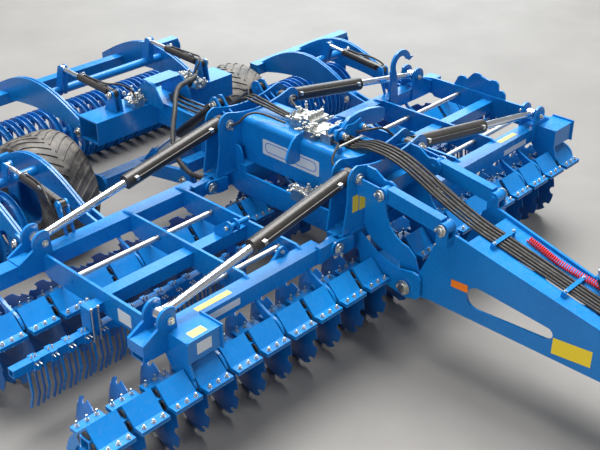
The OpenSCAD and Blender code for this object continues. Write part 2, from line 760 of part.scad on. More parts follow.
module rear_tower() {
    f = fold_rear;
    half = fold_channel_gap / 2 + channel_t;
    color("royalblue") {
        fold_channel(f);
        both() {
            for (x = [lift_x - 40, lift_x + 26])
                plate_x(x, 14) polygon(concat(
                    [[f[0] - half + 4, tube_top + seat_gap + 4], [f[0] + half - 2, tube_top + seat_gap + 4],
                        [f[0] + half + 40, 1100], lift_base - [20, 130]],
                    arc(lift_base, 62, -60, 100, 8),
                    [[f[0] + half - 20, f[1] + 40], [f[0] - half + 4, f[1] - 40]]
                ));
            pin_x(lift_x - 48, lift_x + 48, lift_base, lift_pin_d / 2);
        }
        for (s = [-1, 1])
            block([-lift_x, lift_x], [s > 0 ? f[0] + 40 : f[0] - half + 2, s > 0 ? f[0] + half - 2 : f[0] - 40], [tube_top + seat_gap + 2, 1160]);
    }
}

module rear_frame() {
    y0 = fold_rear[0] + fold_channel_gap / 2 + channel_t + seat_gap;
    tongue = rear_tube_y + tube_s + seat_gap;
    beam0 = centre_pivot[0] - 330;
    z0 = tube_top;
    z1 = tube_top + 200;
    color("royalblue") {
        difference() {
            union() {
                block([-110, 110], [y0, beam0 + 10], [z0, z1]);
                block([-750, 750], [beam0, beam0 + 250], [z0, z1]);
            }
            block([-98, 98], [y0 + 12, beam0 + 20], [z0 + 12, z1 - 12]);
            block([-760, 760], [beam0 + 12, beam0 + 238], [z0 + 12, z1 - 12]);
        }
        block([-120, 120], [y0, y0 + 30], [tube_z, z1 + 30]);
        block([-120, 120], [tongue, y0 + 4], [tube_z, tube_top - 2]);
        block([-110, 110], axle_tube_y, [z0 - 190, z0]);
        block([-345, 345], axle_tube_y, [z0 - 190, z0 - 90]);
        both() {
            for (x = [arch_x - 48, arch_x + 30])
                plate_x(x, 18) {
                    translate(centre_pivot) circle(62);
                    polygon([[beam0 + 240, z0], centre_pivot - [0, 62], centre_pivot + [0, 62], [beam0 + 240, z1]]);
                }
            pin_x(arch_x - 62, arch_x + 62, centre_pivot, 22);
            cylinder_ears(centre_cyl_x, centre_cyl[0], z1, [beam0 + 40, beam0 + 200]);
            plate_x(325, 20) {
                translate(axle_pivot) circle(62);
                polygon([[axle_tube_y[0], z0 - 95], axle_pivot - [62, 0], axle_pivot + [62, 0], [axle_tube_y[1], z0 - 95]]);
            }
            pin_x(250, 360, axle_pivot, 30);
        }
    }
}

// Drawbar

// A slotted side plate of the drawbar in (distance forward of the pin, height)
module drawbar_plate_2d() {
    difference() {
        union() {
            translate([0, draw_pin_z]) circle(72);
            polygon([
                [0, draw_pin_z - 72], [180, 580], [1480, 530], [1860, 545],
                [1860, 760], [1480, 880], [370, 1150], [300, 1150], [230, 1090], [60, draw_pin_z + 60]
            ]);
        }
        polygon(bar_points([560, 745], [1070, 715], 85, 45));
    }
}

// Half width between the side plates' middles at a distance forward of the lower pin
function draw_half(forward) = draw_pin_x - tan(draw_taper) * forward;

module drawbar() {
    top0 = 420;
    top1 = 1822;
    color("royalblue") {
        for (s = [-1, 1]) on_side(s)
            translate([draw_pin_x, draw_pin_y, 0]) rotate([0, 0, -90 - draw_taper])
                translate([0, -draw_t / 2, 0]) translate([0, draw_t, 0]) rotate([90, 0, 0])
                    linear_extrude(draw_t) drawbar_plate_2d();
        // Sloping top plate between the side plates
        translate([0, draw_pin_y - top0, 1110]) rotate([13.2, 0, 0]) difference() {
            translate([0, 0, -15]) linear_extrude(15) polygon([
                [-draw_half(top0), 0], [draw_half(top0), 0], [draw_half(top1), -1440], [-draw_half(top1), -1440]
            ]);
            for (y = [-180, -560, -940])
                translate([0, y, -20]) linear_extrude(30) polygon(bar_points([0, 0], [0, -220], 75, 75));
        }
        // Cross pipes and lower pins
        pin_x(-draw_half(330), draw_half(330), [draw_pin_y - 330, 700], 50);
        pin_x(-draw_half(1180), draw_half(1180), [draw_pin_y - 1180, 640], 45);
        both() {
            pin_x(cheek_x - cheek_t - 10, front_gap(0) + plate_t / 2 + 12, [draw_pin_y, draw_pin_z], draw_pin_d / 2);
            pin_x(front_gap(0) + plate_t / 2 + 1, front_gap(0) + plate_t / 2 + 10, [draw_pin_y, draw_pin_z], 44);
            link_clevis();
        }
        // Nose with the towing eye
        block([-188, 188], [nose_y - 20, nose_y + 10], [535, 770]);
        block([-70, 70], [eye_y + 120, nose_y], [570, 720]);
        difference() {
            union() {
                translate([0, eye_y, 615]) cylinder(h = 60, r = eye_r);
                block([-55, 55], [eye_y + 30, eye_y + 125], [615, 675]);
            }
            translate([0, eye_y, 600]) cylinder(h = 90, r = eye_bore / 2);
        }
        // Guide of the parking stand
        difference() {
            stand_block(stand_s / 2, [380, 800]);
            stand_block(stand_s / 2 - stand_wall, [370, 810]);
        }
        pin_x(stand_x + stand_s / 2 - 5, stand_x + stand_s / 2 + 40, [nose_y + 10, 720], 9);
    }
}

// The drawbar's clevis for an upper link, with its pin
module link_clevis() {
    p = link_front;
    out = link_w / 2 + 2;
    block([link_x - out - 12, link_x + out + 12], [p[0] - 45, p[0] + 45], [link_foot_z, link_foot_z + 52]);
    for (x = [link_x - out - 12, link_x + out])
        plate_x(x, 12) {
            translate(p) circle(44);
            polygon([[p[0] - 45, link_foot_z + 20], [p[0] + 45, link_foot_z + 20], p + [44, 0], p - [44, 0]]);
        }
    pin_x(link_x - out - 24, link_x + out + 24, p, link_pin_d / 2);
}

// Upper links: square tubes with an eye at each end
module drawbar_links() {
    a = [link_pin_y, link_z];
    b = link_front;
    len = norm(b - a);
    color("royalblue") both() difference() {
        union() {
            aim_yz(a, b, link_x) block([30, len - 30], [-link_w / 2, link_w / 2], [-link_h / 2, link_h / 2]);
            for (p = [a, b]) pin_x(link_x - link_w / 2, link_x + link_w / 2, p, 42);
        }
        for (p = [a, b]) pin_x(link_x - link_w, link_x + link_w, p, link_pin_d / 2 + pin_gap);
    }
}

// An upright block about the stand's middle, with a half width
module stand_block(half, z) {
    block([stand_x - half, stand_x + half], [nose_y + 10 - half, nose_y + 10 + half], z);
}

module stand_leg() {
    color("silver") {
        stand_block(stand_s / 2 - stand_wall - seat_gap, [12, 720]);
        stand_block(80, [0, 12]);
    }
}

module valve_blocks() {
    top = beam_top;
    color("silver") {
        block([-130, 60], [620, 720], [top + seat_gap, top + 70]);
        block([-60, 120], [860, 960], [top + seat_gap, top + 90]);
        for (x = [-110:35:40]) translate([x, 670, top + 65]) cylinder(h = 45, r = 13);
        for (x = [-40:35:110]) translate([x, 910, top + 85]) cylinder(h = 40, r = 13);
    }
}

// Hoses

hose_r = 11;
module hoses() {
    top = beam_top;
    color("black") for (i = [0:4]) let (x = -60 + 30 * i)
        sweep([
            [x, 620 - seat_gap, top + hose_r + seat_gap], [x, 470, top + hose_r + seat_gap],
            [x, 345, top + 54], [x, 260, top + 58],
            [x, 160, top + 54], [x, 40, 1390], [x, -120, 1330], [x, -300, 1250], [x, -480, 1180],
            [x * 0.9, -640, 1127], [x * 0.9, -800, 1093], [x * 0.8, -1100, 1023], [x * 0.8, -1500, 929],
            [x * 0.8, -1900, 835], [x * 0.8, -2000, 812]
        ], hose_r);
}

module coil_hose() {
    color("red") sweep([
        [150, -900, 1079], [140, -1000, 1055.5], [120, -1150, 1020.3], [130, -1300, 985.1],
        [150, -1450, 950], [140, -1600, 914.8], [110, -1700, 891.3]
    ], 24);
}

// Transport axle

module axle() {
    arm_x = 270;
    end_x = 720;
    b = [axle_y - 350, 550];
    color("royalblue") {
        difference() {
            union() {
                both() {
                    plate_x(arm_x, 40) bar2d(axle_pivot, b, 62, 60);
                    plate_x(end_x, 24) bar2d(b, [axle_y, axle_z], 75, 62);
                    for (x = [lift_x - 32, lift_x + 22])
                        plate_x(x, 10) bar2d(b, lift_eye, 50, 36);
                }
                tube_x(-end_x, end_x, b[0] - 60, b[1] - 60, 120, 10);
            }
            for (s = [-1, 1]) on_side(s) pin_x(arm_x - 5, arm_x + 45, axle_pivot, 30 + pin_gap);
        }
        both() {
            pin_x(end_x, wheel_x - 128, [axle_y, axle_z], 45);
            pin_x(wheel_x - 128, wheel_x + 20, [axle_y, axle_z], 30);
        }
    }
}

module wheel_rim() {
    w = 180;
    translate([wheel_x, axle_y, axle_z]) rotate([0, 90, 0]) difference() {
        rotate_extrude() polygon([
            [30 + pin_gap, -120], [70, -120], [70, 60], [rim_r - 12, 60], [rim_r - 12, -w], [rim_r + 18, -w - 14],
            [rim_r + 18, -w], [rim_r, -w + 14], [rim_r, w - 14], [rim_r + 18, w], [rim_r + 18, w + 14],
            [rim_r - 12, w], [rim_r - 12, 74], [30 + pin_gap, 74]
        ]);
    }
}

module wheel_tyre() {
    r = tyre_d / 2;
    w = tyre_w / 2;
    translate([wheel_x, axle_y, axle_z]) rotate([0, 90, 0]) rotate_extrude() polygon([
        [rim_r + seat_gap, -155], [rim_r + 24, -172], [rim_r + 26, -200], [rim_r + 60, -w + 14], [r - 90, -w],
        [r - 34, -w + 12], [r - 12, -w + 60], [r, -w + 130], [r, w - 130],
        [r - 12, w - 60], [r - 34, w - 12], [r - 90, w], [rim_r + 60, w - 14], [rim_r + 26, 200],
        [rim_r + 24, 172], [rim_r + seat_gap, 155]
    ]);
}

module lift_barrel() {
    len = 640;
    aim_yz(lift_base, lift_eye, lift_x) difference() {
        union() {
            rotate([90, 0, 0]) cylinder(h = 44, r = 38, center = true);
            translate([24, 0, 0]) rotate([0, 90, 0]) cylinder(h = len - 24, r = lift_barrel_d / 2);
        }
        rotate([90, 0, 0]) cylinder(h = 50, r = lift_pin_d / 2 + pin_gap, center = true);
        for (s = [-1, 1]) translate([0, s * 42, 0]) cube([200, 36, 120], center = true);
        translate([110, 0, 0]) rotate([0, 90, 0]) cylinder(h = len, r = lift_rod_d / 2 + pin_gap);
    }
}

module lift_rod() {
    len = norm(lift_eye - lift_base);
    aim_yz(lift_base, lift_eye, lift_x) {
        translate([len - 700, 0, 0]) rotate([0, 90, 0]) cylinder(h = 675, r = lift_rod_d / 2);
        translate([len, 0, 0]) rotate([90, 0, 0]) difference() {
            cylinder(h = 38, r = 34, center = true);
            cylinder(h = 40, r = lift_pin_d / 2, center = true);
        }
    }
}

// Rollers

// A ring roller along X from x0 to x1: shaft, bars, open channel rings and end plates
module roller(x0, x1, y, z) {
    n = floor((x1 - x0 - ring_w) / ring_pitch);
    first = (x1 + x0) / 2 - n * ring_pitch / 2;
    r = roller_d / 2;
    lip = 38;
    wall = 7;
    color("royalblue") translate([0, y, z]) {
        for (i = [0:n]) translate([first + i * ring_pitch, 0, 0]) rotate([0, 90, 0]) rotate_extrude() polygon([
            [r - lip - wall, -ring_w / 2], [r, -ring_w / 2], [r, -ring_w / 2 + wall], [r - lip, -ring_w / 2 + wall],
            [r - lip, ring_w / 2 - wall], [r, ring_w / 2 - wall], [r, ring_w / 2], [r - lip - wall, ring_w / 2]
        ]);
        for (a = [0:60:300]) rotate([a, 0, 0])
            translate([x0 + 4, 0, r - lip - wall - 16]) rotate([0, 90, 0]) cylinder(h = x1 - x0 - 8, r = 18, $fn = 16);
        rotate([0, 90, 0]) {
            for (x = [x0, x1 - 12]) translate([0, 0, x]) cylinder(h = 12, r = r - lip - wall - 4);
            translate([0, 0, x0 - 60]) cylinder(h = 70, r = 25);
            translate([0, 0, x1 - 10]) cylinder(h = 70, r = 25);
            translate([0, 0, x0]) cylinder(h = x1 - x0, r = 50);
        }
    }
}

// A hanger plate with the bearing hole of a roller's end at x0
module roller_hanger(x0, y, z, top_y, top_z) {
    plate_x(x0, 16) difference() {
        bar2d([y, z], [top_y, top_z], 75, 70);
        translate([y, z]) circle(25 + pin_gap);
    }
}

// A curved arch of two plates from the front pin over the top to the rear tube
module arch_2d(p, q, rise, depth) {
    n = 12;
    d = q - p;
    out = [for (i = [0:n]) let (f = i / n) p + d * f + [0, rise * sin(180 * f) + depth / 2]];
    inn = [for (i = [n:-1:0]) let (f = i / n) p + d * f + [0, rise * 0.8 * sin(180 * f) - depth / 2]];
    polygon(concat(out, inn));
    translate(p) circle(depth / 2);
}

module centre_roller_frame() {
    tube = [centre_roller_y - 150, 850];
    x_end = centre_roller_x + 25;
    lug = centre_cyl[1] + [50, -210];
    color("royalblue") {
        both() {
            for (x = [arch_x - 22, arch_x + 6])
                plate_x(x, 16) difference() {
                    arch_2d(centre_pivot, [centre_roller_y + 200, 830], 240, 130);
                    translate(centre_pivot) circle(22 + pin_gap);
                }
            roller_hanger(x_end, centre_roller_y, roller_z, centre_roller_y - 100, 870);
            // Lug of the depth cylinder on the arch
            for (x = [centre_cyl_x - 30, centre_cyl_x + 18])
                plate_x(x, 12) bar2d(centre_cyl[1], lug, 34, 46);
        }
        pin_x(-arch_x - 10, arch_x + 10, lug, 38);
        tube_x(-x_end - 8, x_end + 8, tube[0], tube[1], 100, 8);
    }
}

module wing_roller_frame() {
    tube = [wing_roller_y - 100, 850];
    lug = wing_cyl[1] + [40, -140];
    color("royalblue") {
        for (x = wing_arch_xs, dx = [-20, 4])
            plate_x(x + dx, 16) difference() {
                arch_2d(wing_pivot, [wing_roller_y - 10, 860], 230, 120);
                translate(wing_pivot) circle(depth_pin_d / 2 + pin_gap);
            }
        for (x = [wing_roller_x0 - 41, wing_roller_x1 + 25])
            roller_hanger(x, wing_roller_y, roller_z, wing_roller_y - 50, 870);
        for (x = [wing_cyl_x - 30, wing_cyl_x + 18])
            plate_x(x, 12) bar2d(wing_cyl[1], lug, 34, 44);
        pin_x(wing_arch_xs[0], wing_arch_xs[1], lug, 38);
        tube_x(wing_roller_x0 - 41, wing_roller_x1 + 41, tube[0], tube[1], 100, 8);
    }
}

// A depth cylinder between two pins
module depth_barrel(pins, x) {
    len = 470;
    aim_yz(pins[0], pins[1], x) difference() {
        union() {
            rotate([90, 0, 0]) cylinder(h = 40, r = 32, center = true);
            translate([20, 0, 0]) rotate([0, 90, 0]) cylinder(h = len - 20, r = depth_barrel_d / 2);
        }
        for (s = [-1, 1]) translate([0, s * 38, 0]) cube([140, 32, 90], center = true);
        rotate([90, 0, 0]) cylinder(h = 50, r = depth_pin_d / 2 + pin_gap, center = true);
        translate([80, 0, 0]) rotate([0, 90, 0]) cylinder(h = len, r = depth_rod_d / 2 + pin_gap);
    }
}

module depth_rod(pins, x) {
    len = norm(pins[1] - pins[0]);
    aim_yz(pins[0], pins[1], x) {
        translate([len - 500, 0, 0]) rotate([0, 90, 0]) cylinder(h = 480, r = depth_rod_d / 2);
        translate([len, 0, 0]) rotate([90, 0, 0]) difference() {
            cylinder(h = 34, r = 28, center = true);
            cylinder(h = 36, r = depth_pin_d / 2, center = true);
        }
    }
}

place() main_beam();
place() front_tower();
place() rear_tower();
place() rear_frame();
place() drawbar();
place() drawbar_links();
place() valve_blocks();
place() hoses();
place() coil_hose();
place() stand_leg();

place() right_wing();  // wing_frame_right
place() left_wing();  // wing_frame_left
place() on_side(-1) tie_rods(right_plates);  // tie_rods_right
place() tie_rods(left_plates);  // tie_rods_left
place() clamp_row(front_centre, front_beam_y, 1);  // front_clamps_centre
place() disc_row(front_centre, front_beam_y, 1);  // front_discs_centre
place() clamp_row(rear_centre, rear_beam_y, -1);  // rear_clamps_centre
place() disc_row(rear_centre, rear_beam_y, -1);  // rear_discs_centre
place() clamp_row(front_right, front_beam_y, 1);  // front_clamps_right
place() disc_row(front_right, front_beam_y, 1);  // front_discs_right
place() clamp_row(rear_right, rear_beam_y, -1);  // rear_clamps_right
place() disc_row(rear_right, rear_beam_y, -1);  // rear_discs_right
place() clamp_row(front_left, front_beam_y, 1);  // front_clamps_left
place() disc_row(front_left, front_beam_y, 1);  // front_discs_left
place() clamp_row(rear_left, rear_beam_y, -1);  // rear_clamps_left
place() disc_row(rear_left, rear_beam_y, -1);  // rear_discs_left
place() on_side(-1) tine_bar(hinge_x + 80, beam_long - 50, right_plates);  // tine_bar_right
place() on_side(1) tine_bar(hinge_x + 80, front_left_end + 190, left_plates);  // tine_bar_left

place() turned_side(-1, fold_front[0]) color("dimgray") fold_barrel(fold_front);  // fold_barrel_front_right
place() turned_side(-1, fold_front[0]) color("silver") fold_rod(fold_front);  // fold_rod_front_right
place() turned_side(-1, fold_rear[0]) color("dimgray") fold_barrel(fold_rear);  // fold_barrel_rear_right
place() turned_side(-1, fold_rear[0]) color("silver") fold_rod(fold_rear);  // fold_rod_rear_right
place() color("dimgray") fold_barrel(fold_front);  // fold_barrel_front_left
place() color("silver") fold_rod(fold_front);  // fold_rod_front_left
place() color("dimgray") fold_barrel(fold_rear);  // fold_barrel_rear_left
place() color("silver") fold_rod(fold_rear);  // fold_rod_rear_left

place() axle();
place() on_side(-1) color("darkgray") wheel_tyre();  // wheel_tyre_right
place() on_side(-1) color("royalblue") wheel_rim();  // wheel_rim_right
place() color("darkgray") wheel_tyre();  // wheel_tyre_left
place() color("royalblue") wheel_rim();  // wheel_rim_left
place() on_side(-1) color("dimgray") lift_barrel();  // lift_barrel_right
place() on_side(-1) color("silver") lift_rod();  // lift_rod_right
place() color("dimgray") lift_barrel();  // lift_barrel_left
place() color("silver") lift_rod();  // lift_rod_left

place() centre_roller_frame();
place() roller(-centre_roller_x, centre_roller_x, centre_roller_y, roller_z);  // centre_roller
place() color("dimgray") on_side(-1) depth_barrel(centre_cyl, centre_cyl_x);  // centre_depth_barrel_right
place() color("silver") on_side(-1) depth_rod(centre_cyl, centre_cyl_x);  // centre_depth_rod_right
place() color("dimgray") depth_barrel(centre_cyl, centre_cyl_x);  // centre_depth_barrel_left
place() color("silver") depth_rod(centre_cyl, centre_cyl_x);  // centre_depth_rod_left

place() on_side(-1) wing_roller_frame();  // wing_roller_frame_right
place() on_side(-1) roller(wing_roller_x0, wing_roller_x1, wing_roller_y, roller_z);  // wing_roller_right
place() color("dimgray") on_side(-1) depth_barrel(wing_cyl, wing_cyl_x);  // wing_depth_barrel_right
place() color("silver") on_side(-1) depth_rod(wing_cyl, wing_cyl_x);  // wing_depth_rod_right
place() wing_roller_frame();  // wing_roller_frame_left
place() roller(wing_roller_x0, wing_roller_x1, wing_roller_y, roller_z);  // wing_roller_left
place() color("dimgray") depth_barrel(wing_cyl, wing_cyl_x);  // wing_depth_barrel_left
place() color("silver") depth_rod(wing_cyl, wing_cyl_x);  // wing_depth_rod_left
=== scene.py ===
# Looks of a trailed folding disc harrow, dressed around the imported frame
import json
import math
import random

import bmesh
import bpy
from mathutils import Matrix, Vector


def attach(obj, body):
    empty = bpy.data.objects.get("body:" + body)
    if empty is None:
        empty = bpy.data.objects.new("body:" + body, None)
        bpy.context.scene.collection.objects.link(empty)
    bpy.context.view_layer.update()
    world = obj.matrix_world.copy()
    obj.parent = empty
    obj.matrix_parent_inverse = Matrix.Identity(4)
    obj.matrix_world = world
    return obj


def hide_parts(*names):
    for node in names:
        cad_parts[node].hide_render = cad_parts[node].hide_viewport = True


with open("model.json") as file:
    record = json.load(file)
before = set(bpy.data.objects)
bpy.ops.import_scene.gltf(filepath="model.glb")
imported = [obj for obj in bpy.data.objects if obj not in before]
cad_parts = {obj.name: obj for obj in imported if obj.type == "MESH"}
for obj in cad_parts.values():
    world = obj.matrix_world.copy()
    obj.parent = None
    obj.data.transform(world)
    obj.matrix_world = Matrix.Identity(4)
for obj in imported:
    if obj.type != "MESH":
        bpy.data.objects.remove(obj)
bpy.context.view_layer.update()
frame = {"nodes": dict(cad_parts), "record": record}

X = Vector((1, 0, 0))
Y = Vector((0, 1, 0))
Z = Vector((0, 0, 1))
SQUARE = ((-1, -1), (1, -1), (1, 1), (-1, 1))
SIDES = (("right", -1), ("left", 1))

# Sizes in metres. As in the part's source, y is counted from the front row's frame and shifted by SHIFT
EYE_Y = -2.6
SHIFT = EYE_Y - frame["record"]["mounts"][0]["pos_m"][1]
JOINTS = {joint["name"]: joint for joint in frame["record"]["behaviour"]["joints"]}


def at(x, y, z):
    """A place in the frame, from sizes counted as above."""
    return Vector((x, y - SHIFT, z))


def pin(joint):
    """The x, y and z of a joint's pin, counted the same way."""
    x, y, z = JOINTS[joint]["pos_m"]
    return x, y + SHIFT, z


# Discs and clamps
DISC_PITCH = 0.25
FRONT_X0 = 0.166
REAR_X0 = 0.29
FRONT_Y = 0.05
REAR_Y = 1.31
BEAM_Z = 0.63
BEAM_S = 0.09
CLAMP_W = 0.21
CLAMP_HALF = 0.1182
FRONT_COUNT = {"right": 11, "left": 9}
REAR_COUNT = {"right": 10, "left": 10}
FRONT_INNER = 2
REAR_INNER = 1

# Frames, with the y of the cross tubes' front faces
FRONT_TUBE_Y = 0.20
REAR_TUBE_Y = 1.49
TUBE_S = 0.12
TUBE_TOP = 0.92
MID_TUBE_TOP = 0.90
PLATE_T = 0.02
PLATE_TOP = 0.945
PLATE_GAPS = {"right": (2, 4, 7), "left": (3, 5, 8)}
TIE_YS = (0.48, 1.18)
TIE_Z = 0.87
MAIN_TOP = 1.36
MAIN_HALF = 0.2
REAR_BOX_TOP = 1.12
HINGE_X, _, HINGE_Z = pin("wing_fold_left")

# Drawbar: the pins of its side plates and of its upper links, and the slope of its top plate
DRAW_PIN = (0, -0.24, 0.62)
TOWER_LINK_PIN = (0, -0.03, 1.28)
DRAWBAR_LINK_PIN = (0, -0.54, 1.21)
SIDE_PLATE_X = 0.265
SIDE_PLATE_T = 0.02
DRAWBAR_SLOPE = math.radians(13.2)
DRAWBAR_TAPER = math.radians(2.8)

# Fold cylinders
FOLD_X, _, FOLD_Z = pin("fold_swing_front_left")
FOLD_ROWS = {row: pin(f"fold_swing_{row}_left")[1] for row in ("front", "rear")}
FOLD_EYE = (2.035, 1.025)
BARREL_R = 0.056
BARREL_LEN = 0.95

# Rollers' arches
CENTRE_ARCH_X = 0.65
INNER_ARCH_X = 1.48
OUTER_ARCH_X = 2.01

# Tine bars
TINE_BAR_Y = 0.86
TINE_PITCH = 0.125
FIRST_TINE_X = 0.70
LAST_TINE_X = {"right": 2.69, "left": 2.43}


def gap_x(k):
    """The middle of the gap after clamp k of the front row, where a wing's long plate stands."""
    return FRONT_X0 + DISC_PITCH * (k + 0.5)


def outer_face(side):
    """The outer side of a wing's outer long plate."""
    return gap_x(PLATE_GAPS[side][-1]) + PLATE_T / 2


# Shapes

def basis(axis):
    """Two directions square to an axis."""
    axis = axis.normalized()
    other = X if abs(axis.z) > 0.9 else Z
    u = axis.cross(other).normalized()
    return u, axis.cross(u)


def ring_around(centre, u, v, radius, n):
    angles = (2 * math.pi * k / n for k in range(n))
    return [centre + radius * (math.cos(a) * u + math.sin(a) * v) for a in angles]


def curve_through(points, steps=6):
    """Points on a smooth curve through the given ones."""
    p = [Vector(q) for q in points]
    p = [2 * p[0] - p[1], *p, 2 * p[-1] - p[-2]]
    out = []
    for a, b, c, d in zip(p, p[1:], p[2:], p[3:]):
        for k in range(steps):
            t = k / steps
            out.append(0.5 * (2 * b + (c - a) * t + (2 * a - 5 * b + 4 * c - d) * t * t
                              + (3 * b - a - 3 * c + d) * t ** 3))
    return out + [p[-2]]


def arc(cu, cv, radius, start, end, n=6):
    """Points of an arc, from and to an angle in degrees."""
    angles = (math.radians(start + (end - start) * i / n) for i in range(n + 1))
    return [(cu + radius * math.cos(a), cv + radius * math.sin(a)) for a in angles]


def rounded(cu, cv, half_u, half_v, radius):
    """Outline of a rounded rectangle."""
    out = []
    for k, (a, b) in enumerate(((1, 1), (-1, 1), (-1, -1), (1, -1))):
        out += arc(cu + a * (half_u - radius), cv + b * (half_v - radius), radius, 90 * k, 90 * (k + 1), 5)
    return out


def around(middle, half):
    return middle - half, middle + half


class Solids:
    """Gathers small solids in one mesh."""

    def __init__(self):
        self.points = []
        self.faces = []

    def skin(self, rings):
        """A closed skin over rings of equally many points, with flat ends."""
        first, n = len(self.points), len(rings[0])
        self.points += [p for ring in rings for p in ring]
        for r in range(len(rings) - 1):
            a = first + r * n
            self.faces += [[a + k, a + (k + 1) % n, a + n + (k + 1) % n, a + n + k] for k in range(n)]
        last = first + (len(rings) - 1) * n
        self.faces += [[first + k for k in reversed(range(n))], [last + k for k in range(n)]]

    def turned(self, start, axis, profile, n=20):
        """A turned solid from (distance along the axis, radius) pairs."""
        axis = axis.normalized()
        u, v = basis(axis)
        self.skin([ring_around(start + axis * d, u, v, r, n) for d, r in profile])

    def rod(self, p, q, radius, n=16):
        self.turned(p, q - p, [(0, radius), ((q - p).length, radius)], n)

    def tube(self, path, radii, n):
        """A tube along a path, with a radius at each point, turned as little as possible."""
        tangents = [(b - a).normalized() for a, b in zip(path[:1] + path[:-1], path[1:] + path[-1:])]
        u = basis(tangents[0])[0]
        rings = []
        for p, t, r in zip(path, tangents, radii):
            u = (u - t * u.dot(t)).normalized()
            rings.append(ring_around(p, u, t.cross(u), r, n))
        self.skin(rings)

    def box(self, centre, half, axes=(X, Y, Z)):
        u, v, w = (axis * h for axis, h in zip(axes, half))
        self.skin([[centre + u * a + v * b + w * c for a, b in SQUARE] for c in (-1, 1)])

    def plate(self, outline, origin, u, v, thickness):
        """A flat plate from an outline in (u, v), its middle in the plane of the origin."""
        out = u.cross(v).normalized() * thickness / 2
        self.skin([[origin + a * u + b * v + out * c for a, b in outline] for c in (-1, 1)])

    def bolt(self, seat, axis, size, stud=0.0):
        """A washer and a hexagon head on a seat, with the stud's end if it has a length."""
        axis = axis.normalized()
        self.turned(seat, axis, [(0, size * 1.05), (size * 0.16, size * 1.05)], 20)
        head = seat + axis * size * 0.16
        self.turned(head, axis, [(0, size * 0.92), (size * 0.75, size * 0.92), (size * 0.85, size * 0.8)], 6)
        if stud:
            end = head + axis * size * 0.85
            self.turned(end, axis, [(0, size * 0.5), (stud, size * 0.5), (stud + 0.001, size * 0.4)], 12)


def hose(solids, points, radius, steps=6):
    """A hose along a smooth curve through points."""
    path = curve_through([at(*p) for p in points], steps)
    solids.tube(path, [radius] * len(path), 8)


def piece(name, solids, material, body, smooth=40):
    """One object from gathered solids, riding on a body."""
    mesh = bpy.data.meshes.new(name)
    mesh.from_pydata([tuple(p) for p in solids.points], [], solids.faces)
    work = bmesh.new()
    work.from_mesh(mesh)
    bmesh.ops.recalc_face_normals(work, faces=work.faces)
    work.to_mesh(mesh)
    work.free()
    mesh.materials.append(M[material])
    mesh.shade_smooth()
    mesh.set_sharp_from_angle(angle=math.radians(smooth))
    made = bpy.data.objects.new(name, mesh)
    bpy.context.scene.collection.objects.link(made)
    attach(made, body)
    return made


# Materials

class Shader:
    """A material's nodes, all in object coordinates in metres."""

    def __init__(self, name):
        self.material = bpy.data.materials.new(name)
        self.material.use_nodes = True
        self.tree = self.material.node_tree
        self.bsdf = self.tree.nodes["Principled BSDF"]
        self.place = self.tree.nodes.new("ShaderNodeTexCoord").outputs["Object"]

    def feed(self, socket, value):
        """Links a socket to another one, or gives it a value; a colour gets its fourth number."""
        if isinstance(value, bpy.types.NodeSocket):
            self.tree.links.new(value, socket)
        elif socket.type == "RGBA":
            socket.default_value = (*value, 1.0)
        else:
            socket.default_value = value

    def node(self, kind, inputs=(), **settings):
        made = self.tree.nodes.new("ShaderNode" + kind)
        for key, value in settings.items():
            setattr(made, key, value)
        for key, value in dict(inputs).items():
            self.feed(made.inputs[key], value)
        return made

    def noise(self, scale, detail=4.0, rough=0.55, stretch=None):
        place = self.place
        if stretch:
            place = self.node("Mapping", {"Vector": place, "Scale": stretch}).outputs["Vector"]
        values = {"Vector": place, "Scale": scale, "Detail": detail, "Roughness": rough}
        return self.node("TexNoise", values).outputs["Fac"]

    def ramp(self, value, low, high, to_low=0.0, to_high=1.0):
        values = {"Value": value, "From Min": low, "From Max": high, "To Min": to_low, "To Max": to_high}
        return self.node("MapRange", values, clamp=True).outputs["Result"]

    def mix(self, factor, a, b):
        """The mix node has sockets for every kind of data: 0 is the factor, 6, 7 and output 2 are colours."""
        return self.node("Mix", {0: factor, 6: a, 7: b}, data_type="RGBA").outputs[2]

    def times(self, a, b):
        return self.node("Math", {0: a, 1: b}, operation="MULTIPLY").outputs["Value"]

    def bump(self, height, depth, strength, under=None):
        values = {"Height": height, "Distance": depth, "Strength": strength}
        if under is not None:
            values["Normal"] = under
        return self.node("Bump", values).outputs["Normal"]

    def facing_up(self):
        """1 on faces that look up on the object at rest, 0 on sides."""
        normal = self.tree.nodes.new("ShaderNodeTexCoord").outputs["Normal"]
        up = self.node("SeparateXYZ", {"Vector": normal}).outputs["Z"]
        return self.ramp(up, 0.35, 0.95)

    def shade(self, **values):
        for key, value in values.items():
            self.feed(self.bsdf.inputs[key.replace("_", " ")], value)
        return self.material


def paint(name, colour, deep, dust, gloss):
    """Sprayed paint: soft change of tone, fine orange peel and a thin film of dust on top faces."""
    s = Shader(name)
    tone = s.mix(s.ramp(s.noise(1.7, detail=5.0), 0.35, 0.7), deep, colour)
    specks = s.ramp(s.noise(38.0, detail=8.0, rough=0.7), 0.5, 0.75)
    film = s.times(s.times(s.facing_up(), specks), dust)
    tone = s.mix(film, tone, (0.42, 0.40, 0.36))
    peel = s.bump(s.noise(260.0, detail=2.0), 0.0004, 0.35)
    wave = s.bump(s.noise(9.0, detail=2.0), 0.002, 0.25, peel)
    rough = s.ramp(s.noise(14.0, detail=6.0), 0.3, 0.75, gloss, gloss + 0.14)
    return s.shade(Base_Color=tone, Roughness=rough, Normal=wave, Coat_Weight=0.2, Coat_Roughness=0.16,
                   Specular_IOR_Level=0.35)


